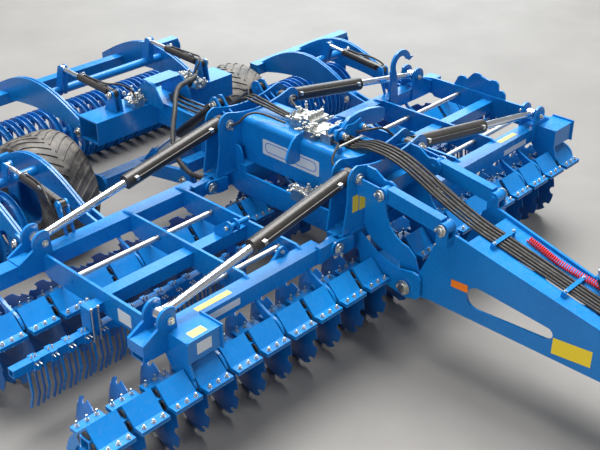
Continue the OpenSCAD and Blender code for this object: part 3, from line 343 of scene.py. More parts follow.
def metal(name, light, dark, rough, grain):
    """Plated or bright steel with blotches and fine scratches."""
    s = Shader(name)
    blotch = s.ramp(s.noise(grain, detail=6.0, rough=0.65), 0.35, 0.7)
    scratches = s.noise(420.0, detail=3.0, rough=0.6, stretch=(1.0, 6.0, 1.0))
    wear = s.ramp(s.noise(grain * 2, detail=5.0), 0.3, 0.7, rough, rough + 0.2)
    return s.shade(Base_Color=s.mix(blotch, dark, light), Metallic=1.0, Roughness=wear,
                   Normal=s.bump(scratches, 0.0002, 0.25))


def rubber(name, colour, dust_and_highlight, share, grain, depth=0.0006):
    """Rubber or hose skin with dust rubbed into it; on the spiral wrap the lighter grey is a painted
    highlight in random patches.
    """
    s = Shader(name)
    cloud = s.ramp(s.noise(grain, detail=8.0, rough=0.65), 0.42, 0.72)
    # The second colour goes in by random patches: dust on most rubbers, a painted highlight on the spiral
    # wrap
    tone = s.mix(s.times(cloud, share), colour, dust_and_highlight)
    skin = s.bump(s.noise(170.0), depth, 0.5)
    return s.shade(Base_Color=tone, Roughness=s.ramp(cloud, 0.0, 1.0, 0.5, 0.85), Normal=skin)


def label(name, colour):
    """A blank self-adhesive sheet with slightly worn print."""
    s = Shader(name)
    worn = s.ramp(s.noise(55.0, detail=6.0, rough=0.7), 0.55, 0.8, 0.0, 0.22)
    tone = s.mix(worn, colour, tuple(0.82 * c + 0.03 for c in colour))
    return s.shade(Base_Color=tone, Roughness=s.ramp(s.noise(30.0), 0.3, 0.7, 0.3, 0.45),
                   Normal=s.bump(s.noise(25.0, detail=2.0), 0.0004, 0.3))


M = {
    "blue_paint": paint("blue_paint", (0.004, 0.200, 0.56), (0.003, 0.150, 0.45), 0.1, 0.22),
    # The discs' blue is a darker copy of the blue paint: painted shade, standing in for the shade on the
    # discs
    "disc_steel": paint("disc_steel", (0.003, 0.115, 0.38), (0.002, 0.072, 0.26), 0.15, 0.32),
    "grey_paint": paint("grey_paint", (0.040, 0.035, 0.032), (0.026, 0.023, 0.021), 0.15, 0.3),
    "black_paint": paint("black_paint", (0.018, 0.018, 0.02), (0.012, 0.012, 0.013), 0.4, 0.3),
    "chrome": metal("chrome", (0.86, 0.86, 0.87), (0.74, 0.75, 0.77), 0.07, 6.0),
    "sleeve": metal("sleeve", (0.88, 0.87, 0.83), (0.74, 0.73, 0.68), 0.34, 30.0),
    "zinc": metal("zinc", (0.70, 0.70, 0.67), (0.46, 0.455, 0.42), 0.26, 40.0),
    "tyre": rubber("tyre", (0.040, 0.036, 0.033), (0.25, 0.228, 0.20), 0.95, 7.0),
    "hose": rubber("hose", (0.010, 0.0095, 0.0095), (0.045, 0.039, 0.034), 0.6, 22.0, 0.0003),
    # The spiral wrap's lighter grey is a painted highlight, mixed in by patches in place of the light on its
    # ridges
    "spiral": rubber("spiral", (0.018, 0.018, 0.019), (0.10, 0.10, 0.10), 0.6, 22.0, 0.0002),
    "cord_rubber": rubber("cord_rubber", (0.012, 0.012, 0.012), (0.08, 0.075, 0.07), 0.6, 18.0),
    "red_hose": rubber("red_hose", (0.62, 0.012, 0.012), (0.75, 0.06, 0.05), 0.4, 30.0, 0.0002),
    "white_label": label("white_label", (0.60, 0.63, 0.64)),
    "blue_label": label("blue_label", (0.005, 0.13, 0.5)),
    "yellow_label": label("yellow_label", (0.82, 0.60, 0.02)),
    "pale_yellow_label": label("pale_yellow_label", (0.62, 0.56, 0.16)),
    "orange_lens": label("orange_lens", (0.90, 0.20, 0.008)),
}


def dress_frame():
    """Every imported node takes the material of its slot."""
    for row in frame["record"]["subparts"]:
        mesh = frame["nodes"][row["node"]].data
        mesh.materials.clear()
        mesh.materials.append(M[row["material_slot"]])


def soften_edges():
    """Narrow rounded edges on the plates and tubes catch the light as paint does."""
    for row in frame["record"]["subparts"]:
        if row["material_slot"] in ("blue_paint", "disc_steel") and "discs" not in row["node"]:
            bevel = frame["nodes"][row["node"]].modifiers.new("edge", "BEVEL")
            bevel.width = 0.0028
            bevel.segments = 1
            bevel.limit_method = "ANGLE"
            bevel.angle_limit = math.radians(50)


# Clamps

def clamps(body):
    """The (x, y) places of a body's clamps: the inner ones ride on the root, the others on the wings."""
    places = []
    for y, first, inner, counts in ((FRONT_Y, FRONT_X0, FRONT_INNER, FRONT_COUNT),
                                    (REAR_Y, REAR_X0, REAR_INNER, REAR_COUNT)):
        for side, s in SIDES:
            span = range(inner) if body == "root" else range(inner, counts[side])
            if body in ("root", "wing_" + side):
                places += [(s * (first + DISC_PITCH * i), y) for i in span]
    return places


def clamp_details(body):
    """Flanges, bolts and the squeezed rubber cords of every clamp."""
    flanges, bolts, rubbers = Solids(), Solids(), Solids()
    flange_y = 0.137
    flange_gap = 0.0085
    flange_half = (CLAMP_W / 2 - 0.002, 0.034, 0.006)
    bolt_y = 0.146
    bolt_z = 0.0145
    bolt_pitch = 0.07
    bolt_size = 0.0145
    studs = {1: 0.026, -1: 0.012}
    # A cord's end fills a corner between the square beam and the clamp's shell
    inside = BEAM_S / 2 + 0.001
    middle = inside + 0.022
    outside = CLAMP_HALF - 0.032
    cord_end = [(inside, -0.036), (middle, -0.03), (outside, -0.006), (outside, 0.006), (middle, 0.03),
                (inside, 0.036)]
    cord_start = CLAMP_W / 2 + 0.0005
    cord_stop = CLAMP_W / 2 + 0.0095
    for x, y in clamps(body):
        for f in (-1, 1):
            for dz in (-flange_gap, flange_gap):
                flanges.box(at(x, y + f * flange_y, BEAM_Z + dz), flange_half)
            for dx in (-bolt_pitch, 0.0, bolt_pitch):
                seat = at(x + dx, y + f * bolt_y, BEAM_Z)
                bolts.bolt(seat + Z * bolt_z, Z, bolt_size, studs[f])
                bolts.bolt(seat - Z * bolt_z, -Z, bolt_size)
        centre = at(x, y, BEAM_Z)
        for u, v in ((Y, Z), (Z, -Y), (-Y, -Z), (-Z, Y)):
            for e in (-1, 1):
                rubbers.skin([[centre + X * e * d + u * p + v * q for p, q in cord_end]
                              for d in (cord_start, cord_stop)])
    piece("clamp_flanges_" + body, flanges, "blue_paint", body)
    piece("clamp_bolts_" + body, bolts, "zinc", body)
    piece("clamp_rubber_" + body, rubbers, "cord_rubber", body)


# Pins

def pin_head(solids, seat, axis, radius, turn=35):
    """The end of a pin: a bright disc, a keeper plate and the keeper's two screws."""
    u, v = basis(axis)
    a = math.radians(turn)
    along = u * math.cos(a) + v * math.sin(a)
    across = v * math.cos(a) - u * math.sin(a)
    solids.turned(seat, axis, [(0, radius), (0.008, radius), (0.0095, radius * 0.95)], 28)
    boss = [(0, radius * 0.62), (0.012, radius * 0.62), (0.014, radius * 0.55)]
    solids.turned(seat + axis * 0.009, axis, boss, 24)
    middle = seat + axis * 0.012 + across * radius * 0.5
    solids.box(middle, (radius * 0.85, radius * 0.2, 0.003), (along, across, axis))
    for e in (-1, 1):
        solids.bolt(middle + along * e * radius * 0.62 + axis * 0.003, axis, 0.0105)


def pin_heads():
    """Heads on the outer ends of the frame's pins, each at a distance along its pin."""
    root = Solids()
    for s in (-1, 1):
        for place, axis, out, radius in (
            (pin("fold_swing_front_left"), -Y, 0.095, 0.042),
            (pin("fold_swing_rear_left"), -Y, 0.095, 0.042),
            (pin("fold_swing_rear_left"), Y, 0.093, 0.036),
            (pin("fold_swing_front_left"), Y, 0.093, 0.036),
            ((HINGE_X, FRONT_TUBE_Y, HINGE_Z), -Y, 0.059, 0.046),
            ((HINGE_X, REAR_TUBE_Y, HINGE_Z), -Y, 0.059, 0.046),
            (TOWER_LINK_PIN, s * X, 0.353, 0.04),
            (DRAWBAR_LINK_PIN, s * X, 0.349, 0.04),
            (DRAW_PIN, s * X, 0.313, 0.055),
            (pin("lift_swing_left"), s * X, 0.048, 0.034),
            (pin("centre_roller_frame_depth"), s * X, 0.712, 0.038),
            (pin("axle_lift"), s * X, 0.36, 0.04),
            (pin("centre_depth_swing_left"), s * X, 0.046, 0.028)):
            x, y, z = place
            pin_head(root, at(s * x, y, z) + axis * out, axis, radius, 35 * s)
    piece("pin_heads_root", root, "zinc", "root")
    _, roller_y, roller_z = pin("wing_roller_frame_left_depth")
    for side, s in SIDES:
        wing = Solids()
        for y in FOLD_ROWS.values():
            for axis in (-Y, Y):
                seat = at(s * FOLD_EYE[0], y, FOLD_EYE[1]) + axis * 0.092
                wing.turned(seat, axis, [(0, 0.026), (0.006, 0.026)], 20)
                wing.bolt(seat + axis * 0.006, axis, 0.017)
        for x, out in ((OUTER_ARCH_X, s * X), (INNER_ARCH_X, -s * X)):
            pin_head(wing, at(s * x, roller_y, roller_z) + out * 0.054, out, 0.03)
        piece("pin_heads_" + side, wing, "zinc", "wing_" + side)


# Signs

def sheet_on(name, normal, face, span_a, span_b, material, body):
    """A thin blank sheet on a face square to x, y or z, from its spans along the other two."""
    first, second = [i for i in range(3) if not normal[i]]
    points = []
    for a, b in ((0, 0), (1, 0), (1, 1), (0, 1)):
        corner = [face] * 3
        corner[first] = span_a[a]
        corner[second] = span_b[b]
        points.append(at(*corner))
    solids = Solids()
    solids.skin([[p + normal * d for p in points] for d in (0.0002, 0.0012)])
    piece(name, solids, material, body)


def signs():
    """Blank sheets on the towers and the wings, where the photograph shows labels."""
    white, pale, yellow = "white_label", "pale_yellow_label", "yellow_label"
    tower_front = 0.1789
    for k, (x, z) in enumerate(((-0.356, 1.142), (-0.282, 1.136), (0.268, 1.180), (0.342, 1.174))):
        sheet_on(f"warning_label_{k}", -Y, tower_front, around(x, 0.031), around(z, 0.064), yellow, "root")
    beam_signs()
    tube_front = FRONT_TUBE_Y - 0.0001
    outer_plate = -outer_face("right") - 0.0001
    for name, side, normal, face, span_a, span_b, material in (
        ("tube_strip_right", "right", -Y, tube_front, (-1.775, -1.445), (0.838, 0.888), white),
        ("tube_strip_left", "left", -Y, tube_front, (1.56, 1.89), (0.815, 0.862), white),
        ("tube_top_strip_right", "right", Z, TUBE_TOP, (-1.765, -1.475), (0.237, 0.284), pale),
        ("tube_top_strip_left", "left", Z, TUBE_TOP, (1.56, 1.80), (0.237, 0.284), pale),
        ("box_front_sign", "right", -Y, 0.0098, (-1.978, -1.862), (0.828, 0.908), white),
        ("box_top_sign", "right", Z, 0.941, (-1.985, -1.868), (0.035, 0.098), pale),
        ("plate_sign", "right", -X, outer_plate, (0.675, 0.545), (0.79, 0.885), white)):
        sheet_on(name, normal, face, span_a, span_b, material, "wing_" + side)
    drawbar_signs()


def beam_signs():
    """A long white sign on each side of the main beam, with two plain rounded borders."""
    cy, cz = 0.952, 1.177
    sign = rounded(cy, cz, 0.29, 0.062, 0.012)
    border = 0.006
    for side, s in SIDES:
        face = s * MAIN_HALF
        solids = Solids()
        solids.skin([[at(face + s * d, y, z) for y, z in sign] for d in (0.0003, 0.0015)])
        piece("beam_sign_" + side, solids, "white_label", "root")
        rings = Solids()
        for mid in around(cy, 0.142):
            outer = rounded(mid, cz + 0.004, 0.122, 0.042, 0.04)
            inner = rounded(mid, cz + 0.004, 0.122 - border, 0.042 - border, 0.04 - border)
            for a, b, c, d in zip(outer, outer[1:] + outer[:1], inner[1:] + inner[:1], inner):
                rings.skin([[at(face + s * out, y, z) for y, z in (a, b, c, d)]
                            for out in (0.0016, 0.0024)])
        piece("beam_sign_border_" + side, rings, "blue_label", "root")


def drawbar_signs():
    """Reflectors and labels on the drawbar's side plates, which draw together toward the nose."""
    for side, s in SIDES:
        along = Vector((-s * math.sin(DRAWBAR_TAPER), -math.cos(DRAWBAR_TAPER), 0))
        out = Vector((s * math.cos(DRAWBAR_TAPER), -math.sin(DRAWBAR_TAPER), 0))
        foot = at(s * SIDE_PLATE_X, DRAW_PIN[1], 0) + out * SIDE_PLATE_T / 2
        for name, material, d, z, half_d, half_z, rise, thick in (
            ("drawbar_reflector_", "orange_lens", 0.42, 0.795, 0.064, 0.026, 0.0, 0.008),
            ("drawbar_label_", "yellow_label", 1.255, 0.654, 0.134, 0.06, 0.06, 0.0014)):
            middle = foot + along * d + Z * z
            run = (along + Z * rise) * half_d
            solids = Solids()
            solids.skin([[middle + run * a + Z * half_z * b + out * w for a, b in SQUARE]
                         for w in (0.0003, thick)])
            piece(name + side, solids, material, "root")


# Hydraulics

def fittings(solids, rng, low, high, count):
    """A crowd of plugs, elbows and couplings inside a box."""
    size = 0.016
    for _ in range(count):
        p = Vector([rng.uniform(a, b) for a, b in zip(low, high)])
        axis = rng.choice((X, -X, Y, -Y, Z, Z, (X + Z).normalized(), (Y - X).normalized()))
        r = size * rng.uniform(0.7, 1.15)
        length = rng.uniform(0.03, 0.07)
        solids.turned(p, axis, [(0, r * 0.75), (length * 0.35, r * 0.75)], 12)
        solids.turned(p + axis * length * 0.35, axis, [(0, r), (length * 0.25, r)], 6)
        solids.turned(p + axis * length * 0.6, axis, [(0, r * 0.6), (length * 0.4, r * 0.6)], 12)


def valve_groups():
    """Valves and couplings on the main beam, beside it and on the rear frame."""
    rng = random.Random(11)
    fittings_each = 26
    spread_x = 0.02
    spread_yz = 0.03
    bright, blocks = Solids(), Solids()
    for cx, cy, hx, hy, hz, foot in ((-0.05, 0.80, 0.11, 0.05, 0.03, MAIN_TOP),
                                     (0.02, 1.02, 0.10, 0.06, 0.03, MAIN_TOP),
                                     (-0.325, 0.70, 0.032, 0.10, 0.045, PLATE_TOP),
                                     (0.33, 2.66, 0.06, 0.11, 0.03, REAR_BOX_TOP),
                                     (-0.30, 2.68, 0.05, 0.07, 0.03, REAR_BOX_TOP)):
        cz = foot + hz
        blocks.box(at(cx, cy, cz), (hx, hy, hz))
        low = at(cx - hx - spread_x, cy - hy - spread_yz, cz)
        high = at(cx + hx + spread_x, cy + hy + spread_yz, cz + hz + spread_yz)
        fittings(bright, rng, low, high, fittings_each)
    piece("valve_bodies", blocks, "zinc", "root")
    piece("valve_fittings", bright, "zinc", "root")


def hose_bundle():
    """The bundle of hoses along the drawbar, which takes the place of the plain one."""
    count = 9
    pitch = 0.018
    # Rows of how far the bundle is spread, which way a hose sways, and y and z
    route = ((0.9, 0, 0.619, MAIN_TOP + 0.013), (1.0, 0, 0.47, MAIN_TOP + 0.013),
             (1.0, 0, 0.345, MAIN_TOP + 0.052), (1.0, 0, 0.26, MAIN_TOP + 0.056),
             (1.0, 0, 0.16, MAIN_TOP + 0.052), (1.0, 0, 0.04, 1.388), (1.0, 1, -0.12, 1.328),
             (1.0, -1, -0.30, 1.248), (1.0, 1, -0.48, 1.178), (0.95, 0, -0.64, 1.127),
             (0.95, 0, -0.80, 1.091), (0.9, 1, -1.10, 1.021), (0.85, 0, -1.50, 0.927), (0.8, 1, -1.90, 0.834),
             (0.8, 0, -2.0, 0.812))
    solids = Solids()
    for i in range(count):
        x = pitch * (i - (count - 1) / 2)
        lift = 0.010 if i % 2 else 0.0
        sway = 0.004 * math.sin(i * 2.1)
        hose(solids, [(x * spread + sway * way, y, z + lift) for spread, way, y, z in route], 0.0095, 5)
    made = piece("hose_bundle", solids, "hose", "root")
    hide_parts("hoses")


COIL_ROUTE = ((0.150, -0.900, 1.079), (0.140, -1.000, 1.0555), (0.120, -1.150, 1.0203),
              (0.130, -1.300, 0.9851), (0.150, -1.450, 0.950), (0.140, -1.600, 0.9148),
              (0.110, -1.700, 0.8913))
COIL_TURNS = 52
COIL_STEPS = 14
COIL_R = 0.0195
COIL_WIRE = 0.0085


def coil():
    """The curly hose: a helix along the route of the plain one."""
    route = curve_through([at(*p) for p in COIL_ROUTE], 12)
    distances = [0.0]
    for a, b in zip(route, route[1:]):
        distances.append(distances[-1] + (b - a).length)
    path = []
    count = COIL_TURNS * COIL_STEPS
    k = 0
    for i in range(count + 1):
        d = distances[-1] * i / count
        while k < len(distances) - 2 and distances[k + 1] < d:
            k += 1
        share = (d - distances[k]) / (distances[k + 1] - distances[k])
        middle = route[k].lerp(route[k + 1], share)
        tangent = (route[k + 1] - route[k]).normalized()
        u = tangent.cross(Z).normalized()
        v = tangent.cross(u)
        a = 2 * math.pi * COIL_TURNS * i / count
        path.append(middle + COIL_R * (math.cos(a) * u + math.sin(a) * v))
    solids = Solids()
    solids.tube(path, [COIL_WIRE / 2] * len(path), 7)
    made = piece("coil", solids, "red_hose", "root")
    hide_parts("coil_hose")


SPIRAL_ROUTE = ((0.27, 2.63, 1.14), (0.265, 2.57, 1.23), (0.20, 2.47, 1.29), (0.091, 2.38, 1.318),
                (-0.108, 2.30, 1.339), (-0.235, 2.20, 1.325), (-0.338, 2.10, 1.259), (-0.452, 2.00, 1.153),
                (-0.535, 1.90, 1.05), (-0.55, 1.80, 0.955), (-0.52, 1.70, 0.885), (-0.455, 1.612, 0.862))
SPIRAL_D = 0.046
SPIRAL_GROOVE_D = 0.035


def spiral_hose():
    """Hoses in a spiral wrap, from the rear frame's valves over to the cross tube."""
    path = curve_through([at(*p) for p in SPIRAL_ROUTE], 14)
    solids = Solids()
    solids.tube(path, [(SPIRAL_D if i % 2 else SPIRAL_GROOVE_D) / 2 for i in range(len(path))], 10)
    made = piece("spiral_hose", solids, "spiral", "root", 60)


def frame_hoses():
    """Hoses from the main beam to the fold pins, to the rear frame and to the lift cylinders."""
    solids = Solids()
    on_beam = MAIN_TOP + 0.02
    for s in (-1, 1):
        # To a swivel in the end of each fold pin, out of the way of the barrel as it swings up
        for start, row, out, e in ((0.62, "front", 0.112, 1), (1.10, "rear", -0.114, -1)):
            y = FOLD_ROWS[row] + out
            hose(solids, [(s * 0.10, start, on_beam), (s * 0.17, y + e * 0.14, MAIN_TOP + 0.06),
                          (s * 0.25, y + e * 0.09, 1.42), (s * 0.32, y + e * 0.06, 1.37),
                          (s * FOLD_X, y, FOLD_Z)], 0.009)
    for x in (-0.03, 0.0, 0.03):
        hose(solids, [(x, 1.10, on_beam), (x, 1.30, MAIN_TOP + 0.04), (x * 1.3, 1.47, MAIN_TOP + 0.055),
                      (x * 1.5, 1.62, MAIN_TOP + 0.05), (x * 2, 1.78, 1.26), (x * 2, 2.0, 1.15),
                      (x * 2, 2.4, 1.135), (x + 0.05, 2.6, 1.14)], 0.010)
    for s in (-1, 1):
        hose(solids, [(s * 0.06, 1.66, 1.14), (s * 0.12, 1.72, 1.30), (s * 0.19, 1.80, 1.36),
                      (s * 0.226, 1.86, 1.33)], 0.008)
    piece("frame_hoses", solids, "hose", "root")
    depth_hoses()


def depth_hoses():
    """Hoses and ports that swing with the barrels of the depth cylinders."""
    nut = [(0, 0.015), (0.02, 0.015), (0.022, 0.012), (0.034, 0.012)]
    for side, s in SIDES:
        for row, points in (
            ("centre_depth_", ((0.30, 2.66, 1.16), (0.35, 2.62, 1.27), (0.43, 2.66, 1.345),
                               (0.475, 2.80, 1.33), (0.48, 2.95, 1.325), (0.48, 3.11, 1.325))),
            ("wing_depth_", ((1.80, 1.66, 1.05), (1.81, 1.71, 1.15), (1.77, 1.84, 1.205),
                             (1.745, 1.96, 1.208), (1.745, 2.08, 1.218)))):
            body = f"{row}barrel_{side}"
            line, ports = Solids(), Solids()
            hose(line, [(s * x, y, z) for x, y, z in points], 0.008)
            x, y, z = points[-1]
            ports.turned(at(s * x, y, z - 0.012), Z, nut, 6)
            x, y, z = points[-3]
            ports.turned(at(s * x, y, z - 0.012), Y, [(0, 0.011), (0.05, 0.011)], 12)
            piece(f"{row}hose_{side}", line, "hose", body)
            piece(f"{row}ports_{side}", ports, "zinc", body)


def port_pipes():
    """The oil pipe and the ports on the barrel of each fold cylinder."""
    port_half = 0.014
    for side, s in SIDES:
        for row, y in FOLD_ROWS.items():
            base = at(s * FOLD_X, y, FOLD_Z)
            along = (at(s * FOLD_EYE[0], y, FOLD_EYE[1]) - base).normalized()
            over = along.cross(Y) * s
            out = (over * 0.35 - Y).normalized()
            start = base + along * 0.15 + out * (BARREL_R + 0.011)
            end = base + along * (BARREL_LEN - 0.05) + out * (BARREL_R + 0.011)
            pipe, bright = Solids(), Solids()
            pipe.rod(start, end, 0.0075, 12)
            for p in (start, end - along * 0.02):
                bright.box(p - out * 0.006, (port_half, port_half, port_half), (along, Y, over))
            body = f"fold_barrel_{row}_{side}"
            piece(f"port_pipe_{row}_{side}", pipe, "grey_paint", body)
            piece(f"ports_{row}_{side}", bright, "zinc", body)


# Wheels

TREAD_LUGS = 32
LUG_STEPS = 8
LUG_SHOULDER_X = 0.248
LUG_MIDDLE_X = 0.010
LUG_SWEEP = 0.34
LUG_H = 0.0095
LUG_SUNK = 0.004
# The tyre's outline, from its middle to its shoulder, as (x, radius)
TYRE_CROWN = ((0.0, 0.4745), (0.12, 0.4745), (0.19, 0.4625), (0.238, 0.441), (0.2505, 0.40))


def crown(x):
    """The tyre's radius at a distance from its middle."""
    for (a, ra), (b, rb) in zip(TYRE_CROWN, TYRE_CROWN[1:]):
        if x <= b:
            return ra + (rb - ra) * (x - a) / (b - a)
    return TYRE_CROWN[-1][1]


def tyre_tread(side, s):
    """Two rows of curved lugs that rise from the tyre's crown."""
    solids = Solids()
    wheel_x, wheel_y, wheel_z = pin("wheel_spin_left")
    centre = at(s * wheel_x, wheel_y, wheel_z)
    for e in (-1, 1):
        for k in range(TREAD_LUGS):
            start = 0.05 + 2 * math.pi * (k + (0.5 if e > 0 else 0.0)) / TREAD_LUGS
            rings = []
            for i in range(LUG_STEPS + 1):
                t = i / LUG_STEPS
                x = LUG_SHOULDER_X + (LUG_MIDDLE_X - LUG_SHOULDER_X) * t
                turn = start + LUG_SWEEP * t ** 1.35
                r = crown(x)
                wide = 0.017 - 0.004 * t
                crest = wide * 0.7
                ring = []
                for w, h in ((-wide, -LUG_SUNK), (wide, -LUG_SUNK), (crest, LUG_H), (-crest, LUG_H)):
                    a = turn + w / r
                    ring.append(centre + X * e * x + (r + h) * (math.cos(a) * Y + math.sin(a) * Z))
                rings.append(ring)
            solids.skin(rings)
    piece("tyre_tread_" + side, solids, "tyre", "wheel_" + side, 30)


# Centre section

def middle_bracket():
    """The saddle over the main beam, and the latch arm beside it with its pins."""
    solids = Solids()
    corner = 0.045
    side = MAIN_HALF + 0.0006
    top = MAIN_TOP + 0.0006
    inner = [(-side, 1.19), (-side, top - corner), (-side + 0.012, top - 0.016), (-side + corner, top)]
    inner += [(-x, z) for x, z in reversed(inner)]
    outer = [(0.235, 1.19), (0.262, 1.26), (0.262, 1.33), (0.235, 1.385), (0.17, 1.41), (0.0, 1.412),
             (-0.15, 1.41), (-0.235, 1.40), (-0.285, 1.36), (-0.325, 1.295), (-0.345, 1.235), (-0.325, 1.20),
             (-0.27, 1.18)]
    saddle_y = 0.86
    solids.plate(inner + outer, at(0, saddle_y, 0), X, Z, 0.018)
    # Two cheeks on the beam and the arm between them
    arm_y = 0.625
    cheek_foot = [(-0.10, top), (-0.115, 1.43), (-0.085, 1.472), (-0.03, 1.474)]
    neck = [(-0.005, 1.455), (0.02, 1.48)]
    cheek_back = [(0.09, 1.47), (0.17, 1.49), (0.225, 1.45), (0.21, 1.39), (0.17, top)]
    arm = [(0.07, 1.516), (0.17, 1.528), (0.30, 1.518), (0.42, 1.492), (0.47, 1.468), (0.47, 1.40),
           (0.44, 1.37), (0.36, 1.375), (0.26, 1.40), (0.20, 1.385)]
    for y in around(arm_y, 0.03):
        solids.plate(cheek_foot + neck + cheek_back, at(0, y, 0), X, Z, 0.014)
    solids.plate(neck + arm, at(0, arm_y, 0), X, Z, 0.03)
    pin_front = 0.56
    for x, z in ((-0.049, 1.425), (0.172, 1.423)):
        solids.turned(at(x, pin_front, z), Y, [(0, 0.03), (0.13, 0.03)], 24)
    piece("latch_bracket", solids, "blue_paint", "root")
    pins = Solids()
    for x in (-0.049, 0.172):
        pin_head(pins, at(x, pin_front, 1.425), -Y, 0.026)
    bar_y = 0.50
    pins.rod(at(-0.19, bar_y, 1.40), at(0.08, bar_y, 1.40), 0.011)
    piece("latch_pins", pins, "zinc", "root")
    feet = Solids()
    for x in (-0.17, 0.06):
        feet.box(at(x, bar_y, 1.381), (0.012, 0.02, 0.0205))
    piece("latch_bar_feet", feet, "blue_paint", "root")


def drawbar_details():
    """Straps over the drawbar's hoses, and the holder with the couplings and their hoses."""
    straps, bright = Solids(), Solids()
    strap_half = 0.128
    strap_w = 0.014
    down = Vector((0, -math.cos(DRAWBAR_SLOPE), -math.sin(DRAWBAR_SLOPE)))
    up = Vector((0, -math.sin(DRAWBAR_SLOPE), math.cos(DRAWBAR_SLOPE)))
    for y, z in ((-0.80, 1.1165), (-1.34, 0.9895)):
        straps.box(at(0, y, z), (strap_half, strap_w, 0.003), (X, down, up))
        for s in (-1, 1):
            leg = at(s * (strap_half - 0.004), y, z) - up * 0.019
            straps.box(leg, (0.004, strap_w, 0.0185), (X, down, up))
            bright.bolt(at(s * 0.110, y, z) + up * 0.003, up, 0.010)
    piece("hose_straps", straps, "blue_paint", "root")
    holder = Solids()
    holder_y = -1.50
    holder.box(at(0.155, holder_y, 0.985), (0.006, 0.05, 0.055))
    holder.box(at(0.13, holder_y, 1.035), (0.03, 0.08, 0.005))
    piece("coupling_holder", holder, "blue_paint", "root")
    hoses = Solids()
    x = 0.125
    coupling = [(0, 0.013), (0.02, 0.013), (0.022, 0.016), (0.05, 0.016), (0.052, 0.011), (0.085, 0.011)]
    for k in range(4):
        y = holder_y - 0.06 + 0.04 * k
        bright.turned(at(x, y, 1.0405), Z, coupling, 16)
        hose(hoses, [(x, y, 1.03), (0.12, y - 0.005, 0.99), (0.10, y - 0.06, 0.955),
                     (0.09, y - 0.16, 0.925)], 0.008)
    piece("coupling_hoses", hoses, "hose", "root")
    piece("drawbar_fittings", bright, "zinc", "root")


def rear_details():
    """The raised bracket on the rear frame, and the inner gussets of the rear tower."""
    bracket = Solids()
    z0 = REAR_BOX_TOP + 0.0005
    cheek = [(2.42, z0), (2.42, z0 + 0.05), (2.52, z0 + 0.19), (2.60, z0 + 0.205), (2.68, z0 + 0.17),
             (2.80, z0 + 0.03), (2.80, z0)]
    for x in (-0.20, 0.10):
        bracket.plate(cheek, at(x, 0, 0), Y, Z, 0.012)
    bracket.box(at(-0.05, 2.60, z0 + 0.195), (0.145, 0.075, 0.008))
    piece("rear_bracket", bracket, "blue_paint", "root")
    gussets = Solids()
    back = 1.4685
    foot = TUBE_TOP + 0.002
    gusset = [(back, foot), (1.385, foot), (1.385, 1.02), (1.40, 1.10), (1.42, 1.135), (1.445, 1.145),
              (back, 1.145)]
    for x in (-0.2698, 0.2698):
        gussets.plate(gusset, at(x, 0, 0), Y, Z, 0.014)
    piece("tower_gussets", gussets, "blue_paint", "root")


def arch_webs():
    """The deeper middle of the rollers' arches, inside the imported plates."""
    steps = 18
    overlap = 0.02
    web_depth = 0.075
    # The share of its rise that a packed arch has along its lower edge
    lower_share = 0.8
    # The web's swell starts this share of the arch away from each end
    margin = 0.1
    _, centre_y, centre_z = pin("centre_roller_frame_depth")
    _, wing_y, wing_z = pin("wing_roller_frame_left_depth")
    # Each arch's front pin, rear end, rise and depth
    centre = ((centre_y, centre_z), (4.40, 0.83), 0.24, 0.13)
    wing = ((wing_y, wing_z), (2.99, 0.86), 0.23, 0.12)
    for name, body, xs, (p, q, rise, depth) in (
        ("centre", "centre_roller_frame", (-CENTRE_ARCH_X, CENTRE_ARCH_X), centre),
        ("right", "wing_roller_frame_right", (-INNER_ARCH_X, -OUTER_ARCH_X), wing),
        ("left", "wing_roller_frame_left", (INNER_ARCH_X, OUTER_ARCH_X), wing)):
        outer, inner = [], []
        for i in range(2, steps - 1):
            f = i / steps
            y = p[0] + (q[0] - p[0]) * f
            edge = p[1] + (q[1] - p[1]) * f + lower_share * rise * math.sin(math.pi * f) - depth / 2
            outer.append((y, edge + overlap))
            inner.append((y, edge - web_depth * math.sin(math.pi * (f - margin) / (1 - 2 * margin))))
        webs = Solids()
        for x in xs:
            for web_x in around(x, 0.012):
                webs.plate(outer + inner[::-1], at(web_x, 0, 0), Y, Z, 0.0154)
        piece("arch_webs_" + name, webs, "blue_paint", body)


# Wings

def tube_ears(blue, bright, s):
    """The ear pair with its bar on the middle tube."""
    foot = MID_TUBE_TOP + 0.0003
    bar_y, bar_z = 0.755, 1.0
    bar_ends = (0.84, 1.04)
    ear = [(0.90, foot), (0.81, foot), (bar_y, 0.955)] + arc(bar_y, bar_z, 0.045, 225, 30) + [(0.90, 0.95)]
    for x in (0.955, 1.02):
        blue.plate(ear, at(s * x, 0, 0), Y, Z, 0.014)
    blue.rod(at(s * bar_ends[0], bar_y, bar_z), at(s * bar_ends[1], bar_y, bar_z), 0.019, 20)
    for x, axis in zip(bar_ends, (-s * X, s * X)):
        bright.bolt(at(s * x, bar_y, bar_z), axis, 0.016)


def right_lug(blue, bright):
    """The lug with its pin behind the right wing's front tube."""
    x, z = -0.935, 0.943
    thick = 0.02
    front = FRONT_TUBE_Y + TUBE_S + 0.0009
    lug = [(-1.06, 0.80), (-1.05, 0.90), (-0.99, 0.94)] + arc(x, z, 0.044, 160, 25)
    lug += [(-0.85, 0.89), (-0.80, 0.80)]
    blue.plate(lug, at(0, front + thick / 2, 0), X, Z, thick)
    pin_head(bright, at(x, front + thick + 0.0003, z), Y, 0.024)
    bright.bolt(at(x, front - 0.0003, 0.948), -Y, 0.015)


